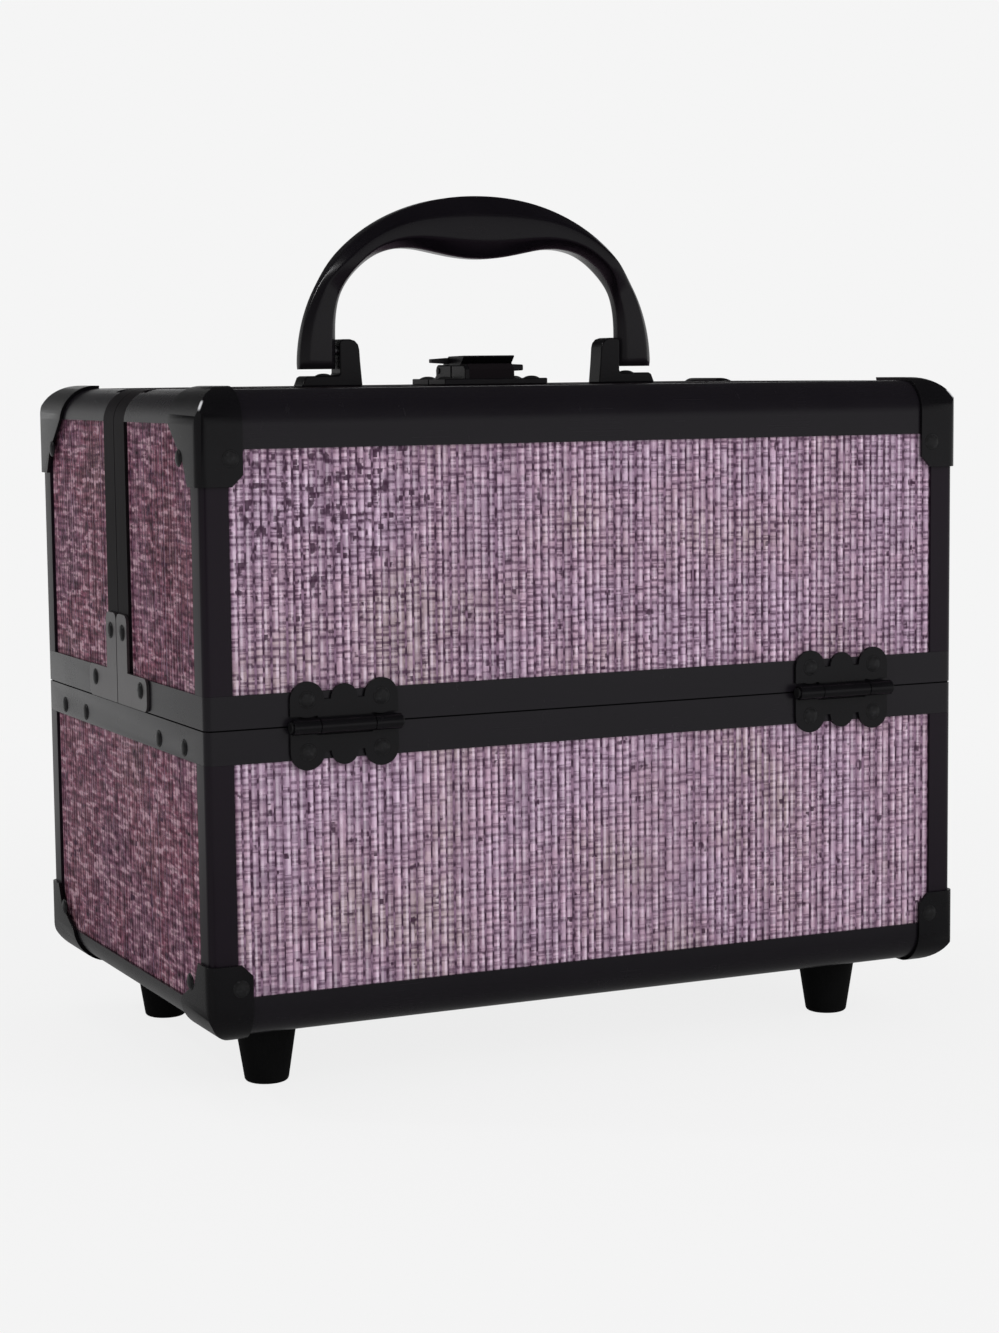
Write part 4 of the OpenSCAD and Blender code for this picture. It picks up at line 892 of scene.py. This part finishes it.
plate_from = LATCH_X - LATCH_HALF
plate_to = LATCH_X + LATCH_HALF
catch_to = LEVER_X + CATCH_RIGHT
left_cheek = LEVER_FROM - CHEEK_GAP
right_cheek = LEVER_TO + CHEEK_GAP
cast("cast_keeper", "front_lid", "black_hardware", coated_steel, [
    (KEEPER_OUTLINE, plate_from, plate_to, 1.0),
    (CATCH_WALL, left_cheek - CHEEK_T, left_cheek, 1.0),
    (LUG_OUTLINE, catch_to + LUG_LENGTH, catch_to - CATCH_LAP, LUG_TAPER)], CAST_EDGE, "latch_keeper")
cast("cast_catch", "front_lid", "black_hardware", split_black, [
    (CATCH_OUTLINE, left_cheek - CATCH_LAP, catch_to, 1.0)], CAST_EDGE)
cast("cast_latch_base", "back_lid", "black_hardware", coated_steel, [
    (PLATE_OUTLINE, plate_from, plate_to, 1.0),
    (SPRING_OUTLINE, LEVER_FROM + SPRING_INSET, LEVER_TO - SPRING_INSET, 1.0),
    (CHEEK_OUTLINE, left_cheek - CHEEK_T, left_cheek, 1.0),
    (CHEEK_OUTLINE, right_cheek, right_cheek + CHEEK_T, 1.0)], CAST_EDGE * 0.8, "latch_base")
for lid, sy in (("front_lid", -1), ("back_lid", 1)):
    moulded(lid + "_hole_plugs", lid, "black_frame", split_black, [
        [[(x, y, z) for x, y in circle(sx * PLUG_X, sy * LATCH_RIVET_Y, PLUG_R, PLUG_SIDES)]
         for z in (TOP_Z - PLUG_T, TOP_Z + PLUG_RISE)] for sx in (-1, 1)], 0)
cast("cast_lever", "latch_lever", "black_hardware", coated_steel, [
    (LEVER_OUTLINE, LEVER_FROM, LEVER_TO, 1.0),
    (LIP_OUTLINE, LEVER_FROM - LIP_LENGTH, LEVER_FROM + LIP_LAP, LIP_TAPER)], CAST_EDGE, "latch_lever")
LEVER_ROD = circle(LEVER_PIN_Y, LEVER_PIN_Z, LEVER_PIN_R, ROD_SIDES)
cast("lever_pin", "back_lid", "black_hardware", coated_steel, [
    (LEVER_ROD, left_cheek - CHEEK_T - PIN_PROUD, right_cheek + CHEEK_T + PIN_PROUD, 1.0)], 0, "latch_pin")

# Seals
# A thin strip of black rubber is glued along the front lid's split edge, over the top and down both
# ends, and a ring of it lies on the base's rim. They fill the gaps round the closed lids.

SEAL_IN = 0.0012
SEAL_T = 0.0024
SEAL_REACH = 0.00019
# A seal's section: how far inside the case's outline, and how far across the gap
SEAL_SECTION = [(SEAL_IN, -HALF_GAP), (SEAL_IN + SEAL_T, -HALF_GAP), (SEAL_IN + SEAL_T, SEAL_REACH),
                (SEAL_IN, SEAL_REACH)]
SEAL_END = PARTING_Z + PLATE_T
BODY_ROUND = 0.012


def seal_path(inset):
    """Up one end of the case, round its corners and down the other end, this far inside its outline."""
    radius = BODY_ROUND - inset
    path = [(inset - HALF_X, SEAL_END)]
    for sx, start in ((-1, 180), (1, 90)):
        path += [(sx * (HALF_X - BODY_ROUND) + radius * math.cos(math.radians(start - a)),
                  TOP_Z - BODY_ROUND + radius * math.sin(math.radians(start - a))) for a in range(0, 91, 10)]
    return path + [(HALF_X - inset, SEAL_END)]


seal_edges = [[(x, reach, z) for x, z in seal_path(inset)] for inset, reach in SEAL_SECTION]
moulded("split_seal", "front_lid", "rubber", foot_rubber, [list(zip(*seal_edges))], 0)
moulded("parting_seal", "base", "rubber", foot_rubber, [
    [[(sx * (HALF_X - inset), sy * (HALF_Y - inset), PARTING_Z + reach) for inset, reach in SEAL_SECTION]
     for sx, sy in ((-1, -1), (1, -1), (1, 1), (-1, 1))]], 0, joined=True)

# Handle
# The handle is one black moulding with a flat front and back between long bevels. Its grip drops
# in the middle to fill the hand, and its two legs turn on pins in cast mounts.

HANDLE_BLACK = (0.0030, 0.0024, 0.0036)
HANDLE_GREY = (0.0062, 0.0050, 0.0072)
HANDLE_DUST = (0.0125, 0.0115, 0.0130)
DUST_FROM = 0.015
DUST_TO = 0.055
handle_plastic, handle_shader, handle_place = finish("handle_plastic", 0.28, Specular_IOR_Level=0.18)
handle_cloud = handle_place.noise(45.0, 3.0)
handle_grain = handle_place.noise(2200.0, 2.0)
handle_rub = handle_place.stretched(0.5, 1.0, 1.0).noise(120.0, 4.0, 0.7).between(0.58, 0.80)
# Dust stays on the legs, where no hand rubs it off
handle_dust = 1.0 - handle_place.part(2).between(TOP_Z + DUST_FROM, TOP_Z + DUST_TO)
handle_base = handle_cloud.tint(HANDLE_BLACK, HANDLE_GREY)
feed(handle_shader, Base_Color=(handle_dust * 0.6).tint(handle_base, HANDLE_DUST),
     Roughness=handle_cloud * 0.08 + handle_rub * 0.10 + 0.22, Normal=handle_grain.bump(0.00003, 0.3))

# Half of a mount's outline, seen from the front: distance from the middle, height above the lid
MOUNT_OUTLINE = [(0.0503, 0.0), (0.0511, 0.0090), (0.0514, 0.0138), (0.0519, 0.0157), (0.0532, 0.0171),
                 (0.0552, 0.0177), (0.0580, 0.0177), (0.0592, 0.0172), (0.0594, 0.0160), (0.0594, 0.0048),
                 (0.0602, 0.0040), (0.0725, 0.0040), (0.0736, 0.0034), (0.0750, 0.0)]
MOUNT_DEPTH_HALF = 0.0048
MOUNT_EDGE = 0.0007
PIN_RADIUS = 0.0018
PIN_FROM = 0.0545
PIN_TO = 0.0690
PIN_RISE = 0.0135
moulded("cast_mounts", "back_lid", "black_hardware", coated_steel, [
    [[(sx * x, y, TOP_Z + z) for x, z in MOUNT_OUTLINE]
     for y in (HANDLE_Y - MOUNT_DEPTH_HALF, HANDLE_Y + MOUNT_DEPTH_HALF)]
    for sx in (-1, 1)], MOUNT_EDGE, "handle_mounts")
PIVOT_ROD = circle(HANDLE_Y, PIN_RISE, PIN_RADIUS, ROD_SIDES)
cast("pivot_pins", "back_lid", "steel", zinc_steel, [
    (PIVOT_ROD, -PIN_TO, -PIN_FROM, 1.0), (PIVOT_ROD, PIN_FROM, PIN_TO, 1.0)], 0, "handle_pins")

HANDLE_HALF = 0.0746
GAP_HALF = 0.060
HANDLE_TOP = 0.072
HANDLE_LOW = 0.0065
ARCH_SPRING = 0.0175
GRIP_LOW = 0.048
GRIP_DROP = 0.0048
GRIP_HALF = 0.038
SHOULDER_RISE = 0.0032
LEG_HALF = 0.0047
GRIP_DEPTH_HALF = 0.0090
FOOT_ROUND = 0.0026
OUTER_POWER = 2.1
INNER_POWER = 2.8
FINE_STEPS = 400
GRIP_BLEND = 0.0040
BLEND_REACH = 0.012
STATIONS = 180
# The section's flat face and flat top as shares of its half sizes, on the legs and what the grip adds
FACE_SHARE = 0.60
GRIP_FACE_CHANGE = -0.17
TOP_SHARE = 0.42
GRIP_TOP_CHANGE = 0.02
CORNER_SHARE = 0.17
GRIP_FROM = 0.035
GRIP_CHANGE = 0.02
LEAST_RISE = 0.0003


def arch_point(angle, half, height, power):
    c = math.cos(angle)
    s = math.sin(angle)
    return Vector((half * math.copysign(abs(c) ** (2 / power), c), height * abs(s) ** (2 / power)))


def grip_underside(x):
    return GRIP_LOW + GRIP_DROP / 2 * (1 - math.cos(math.pi * min(abs(x), GRIP_HALF) / GRIP_HALF))


def flowing_minimum(a, b, blend):
    """The lower of two heights, with a soft change from one to the other."""
    near = max(blend - abs(a - b), 0.0) / blend
    return min(a, b) - near * near * blend / 4


def evenly(points, count):
    """The same line as count points at even distances."""
    lengths = [0.0]
    for a, b in zip(points, points[1:]):
        lengths.append(lengths[-1] + (b - a).length)
    line = []
    k = 0
    for i in range(count):
        target = lengths[-1] * i / (count - 1)
        while k < len(points) - 2 and lengths[k + 1] < target:
            k += 1
        part = (target - lengths[k]) / max(lengths[k + 1] - lengths[k], 1e-9)
        line.append(points[k].lerp(points[k + 1], part))
    return line


outer_line = []
inner_line = [Vector((-GAP_HALF, HANDLE_LOW))]
inner_rise = GRIP_LOW + GRIP_DROP + SHOULDER_RISE - ARCH_SPRING
for i in range(FINE_STEPS + 1):
    angle = math.pi * (1 - i / FINE_STEPS)
    outer_line.append(arch_point(angle, HANDLE_HALF, HANDLE_TOP - HANDLE_LOW, OUTER_POWER)
                      + Vector((0, HANDLE_LOW)))
    point = arch_point(angle, GAP_HALF, inner_rise, INNER_POWER) + Vector((0, ARCH_SPRING))
    if abs(point.x) < GRIP_HALF + BLEND_REACH:
        point.y = flowing_minimum(point.y, grip_underside(point.x), GRIP_BLEND)
    inner_line.append(point)
inner_line.append(Vector((GAP_HALF, HANDLE_LOW)))
outer_line = evenly(outer_line, STATIONS)
inner_line = evenly(inner_line, STATIONS)


def ring_points(flat, top):
    """A section in units of its half sizes: flat faces front and back, bevels, and rounded corners."""
    corners = [(1, -flat), (1, flat), (top, 1), (-top, 1), (-1, flat), (-1, -flat), (-top, -1), (top, -1)]
    ring = []
    for i, here in enumerate(corners):
        here = Vector(here)
        before = here.lerp(Vector(corners[i - 1]), CORNER_SHARE)
        after = here.lerp(Vector(corners[(i + 1) % len(corners)]), CORNER_SHARE)
        for t in (0.0, 0.33, 0.67, 1.0):
            ring.append(before.lerp(here, t).lerp(here.lerp(after, t), t))
    return ring


def half_depth(z):
    """Half the depth of the handle at a height above the lid: a round foot, then a widening leg."""
    if z < HANDLE_LOW + FOOT_ROUND:
        under = HANDLE_LOW + FOOT_ROUND - z
        return LEG_HALF - FOOT_ROUND + math.sqrt(max(FOOT_ROUND ** 2 - under ** 2, 0.0))
    swell = min(max((z - 2 * ARCH_SPRING) / (GRIP_LOW - 2 * ARCH_SPRING), 0.0), 1.0)
    swell = swell * swell * (3 - 2 * swell)
    return LEG_HALF + (GRIP_DEPTH_HALF - LEG_HALF) * swell


handle_rings = []
for outside, inside in zip(outer_line, inner_line):
    centre = (outside + inside) / 2
    half = (outside - inside) / 2
    grip_part = min(max((centre.y - GRIP_FROM) / GRIP_CHANGE, 0.0), 1.0)
    depth = half_depth(max(centre.y, HANDLE_LOW + LEAST_RISE))
    ring = []
    for p in ring_points(FACE_SHARE + GRIP_FACE_CHANGE * grip_part, TOP_SHARE + GRIP_TOP_CHANGE * grip_part):
        place = centre + half * p.y
        ring.append((place.x, HANDLE_Y - depth * p.x, TOP_Z + place.y))
    handle_rings.append(ring)
moulded("moulded_handle", "handle", "handle_plastic", handle_plastic, [handle_rings], 0, "handle")

# Studio
# The case stands on a pale floor in a pale room, under one large soft lamp from the front right, a
# weaker one from above and a small one that glints on its edges. The camera stands as in the photograph.

BACKGROUND = (0.913, 0.913, 0.913)
FLOOR_ALBEDO = (0.90, 0.90, 0.90)
FLOOR_HALF = 6.0
SHADOW_FROM = 0.25
SHADOW_REACH = 0.9
# How much darker gloss shows the floor under the case, a painted shadow, and at the room's left end
UNDER_SHADOW_DIM = 0.72
LEFT_DIM = 0.36
LEFT_FROM = 0.30
LEFT_TO = 0.65
# How much of the floor's tone its shadow can take
SHADOW_PART = 0.09


def seen_directly(wire):
    """1 for what the camera sees, straight or in gloss or glass, and 0 for light on the object."""
    path = wire.node("ShaderNodeLightPath")
    straight = path.named("Is Camera Ray") + path.named("Is Glossy Ray")
    return wire.maths("MINIMUM", straight + path.named("Is Transmission Ray"), 1.0)


floor = new_mesh("studio_floor", [(-FLOOR_HALF, -FLOOR_HALF, 0), (FLOOR_HALF, -FLOOR_HALF, 0),
                                  (FLOOR_HALF, FLOOR_HALF, 0), (-FLOOR_HALF, FLOOR_HALF, 0)], [(0, 1, 2, 3)])
pale_floor, floor_shader, floor_place = finish("pale_floor", 0.9, Specular_IOR_Level=0.0)
floor_shader.inputs["Base Color"].default_value = (*FLOOR_ALBEDO, 1)
far = floor_place.vector("LENGTH", floor_place, out=1)
in_gloss = floor_place.node("ShaderNodeLightPath").named("Is Glossy Ray")
# Painted shadow: gloss shows the floor darker near the case
painted_gloss_shadow = (1.0 - far.between(SHADOW_FROM, SHADOW_REACH)) * in_gloss * UNDER_SHADOW_DIM
floor_left = (0.0 - floor_place.part(0)).between(LEFT_FROM, LEFT_TO) * in_gloss * LEFT_DIM
floor_dim = floor_place.maths("MAXIMUM", painted_gloss_shadow, floor_left)
glow = floor_place.node("ShaderNodeEmission", {}, {"Color": (*BACKGROUND, 1), "Strength": 1.0 - floor_dim})
plain = far.between(SHADOW_FROM, SHADOW_REACH) * SHADOW_PART + (1.0 - SHADOW_PART)
lit = Wire(pale_floor.node_tree, floor_shader.outputs[0])
mixed = floor_place.node("ShaderNodeMixShader", {}, {0: plain * seen_directly(floor_place), 1: lit, 2: glow})
pale_floor.node_tree.links.new(mixed.socket, pale_floor.node_tree.nodes["Material Output"].inputs["Surface"])
floor.data.materials.append(pale_floor)

world = bpy.data.worlds.new("studio_room")
scene.world = world
world.use_nodes = True
room = Wire(world.node_tree, world.node_tree.nodes["Background"].outputs[0])
AMBIENT = 0.55
CEILING = (0.03, 0.03, 0.03)
LEFT_END = (0.50, 0.50, 0.50)
# Where the ceiling and the left end begin and are full, as parts of a ray's way up and to the left
CEILING_FROM = 0.06
CEILING_TO = 0.32
LEFT_END_FROM = 0.10
LEFT_END_TO = 0.40
room_light = room.node("ShaderNodeBackground", {}, {"Color": (1.0, 1.0, 1.0, 1), "Strength": AMBIENT})
# The room's ceiling and left end are darker where gloss shows them. The camera sees one plain tone.
in_reflection = 1.0 - room.node("ShaderNodeLightPath").named("Is Camera Ray")
heading = room.node("ShaderNodeTexCoord")
overhead = heading.part(2).between(CEILING_FROM, CEILING_TO) * in_reflection
leftward = (0.0 - heading.part(0)).between(LEFT_END_FROM, LEFT_END_TO) * in_reflection
room_tone = overhead.tint(leftward.tint(BACKGROUND, LEFT_END), CEILING)
room_seen = room.node("ShaderNodeBackground", {}, {"Color": room_tone, "Strength": 1.0})
room_mix = room.node("ShaderNodeMixShader", {}, {0: seen_directly(room), 1: room_light, 2: room_seen})
world.node_tree.links.new(room_mix.socket, world.node_tree.nodes["World Output"].inputs["Surface"])


def lamp(name, place, target, size, power, in_gloss):
    light = bpy.data.lights.new(name, "AREA")
    light.shape = "SQUARE"
    light.size = size
    light.energy = power
    holder = bpy.data.objects.new(name, light)
    holder.location = place
    holder.rotation_euler = (Vector(target) - Vector(place)).to_track_quat("-Z", "Y").to_euler()
    holder.visible_glossy = in_gloss
    scene.collection.objects.link(holder)


OBJECT_MIDDLE = (0.0, 0.0, 0.14)
lamp("front_softbox", (0.55, -1.70, 1.05), OBJECT_MIDDLE, 1.1, 15.0, False)
lamp("top_softbox", (-0.25, 0.35, 1.90), OBJECT_MIDDLE, 1.0, 5.0, False)
lamp("edge_strip", (-1.30, 0.75, 1.35), OBJECT_MIDDLE, 0.12, 5.0, True)

CAMERA_PLACE = (-0.4516, -0.9685, 0.2514)
CAMERA_YAW = math.radians(25.17)
CAMERA_PITCH = math.radians(-6.12)
CAMERA_ROLL = -0.0108
CAMERA_LENS = 74.61
eye = bpy.data.cameras.new("photo_camera")
eye.lens = CAMERA_LENS
eye.sensor_width = 36.0
eye_holder = bpy.data.objects.new("photo_camera", eye)
scene.collection.objects.link(eye_holder)
ahead = Vector((math.sin(CAMERA_YAW) * math.cos(CAMERA_PITCH), math.cos(CAMERA_YAW) * math.cos(CAMERA_PITCH),
                math.sin(CAMERA_PITCH)))
level = Vector((math.cos(CAMERA_YAW), -math.sin(CAMERA_YAW), 0))
over = level.cross(ahead)
right = level * math.cos(CAMERA_ROLL) + over * math.sin(CAMERA_ROLL)
upward = over * math.cos(CAMERA_ROLL) - level * math.sin(CAMERA_ROLL)
facing_way = Matrix((right, upward, -ahead)).transposed().to_4x4()
eye_holder.matrix_world = Matrix.Translation(CAMERA_PLACE) @ facing_way
scene.camera = eye_holder

scene.view_settings.view_transform = "Standard"
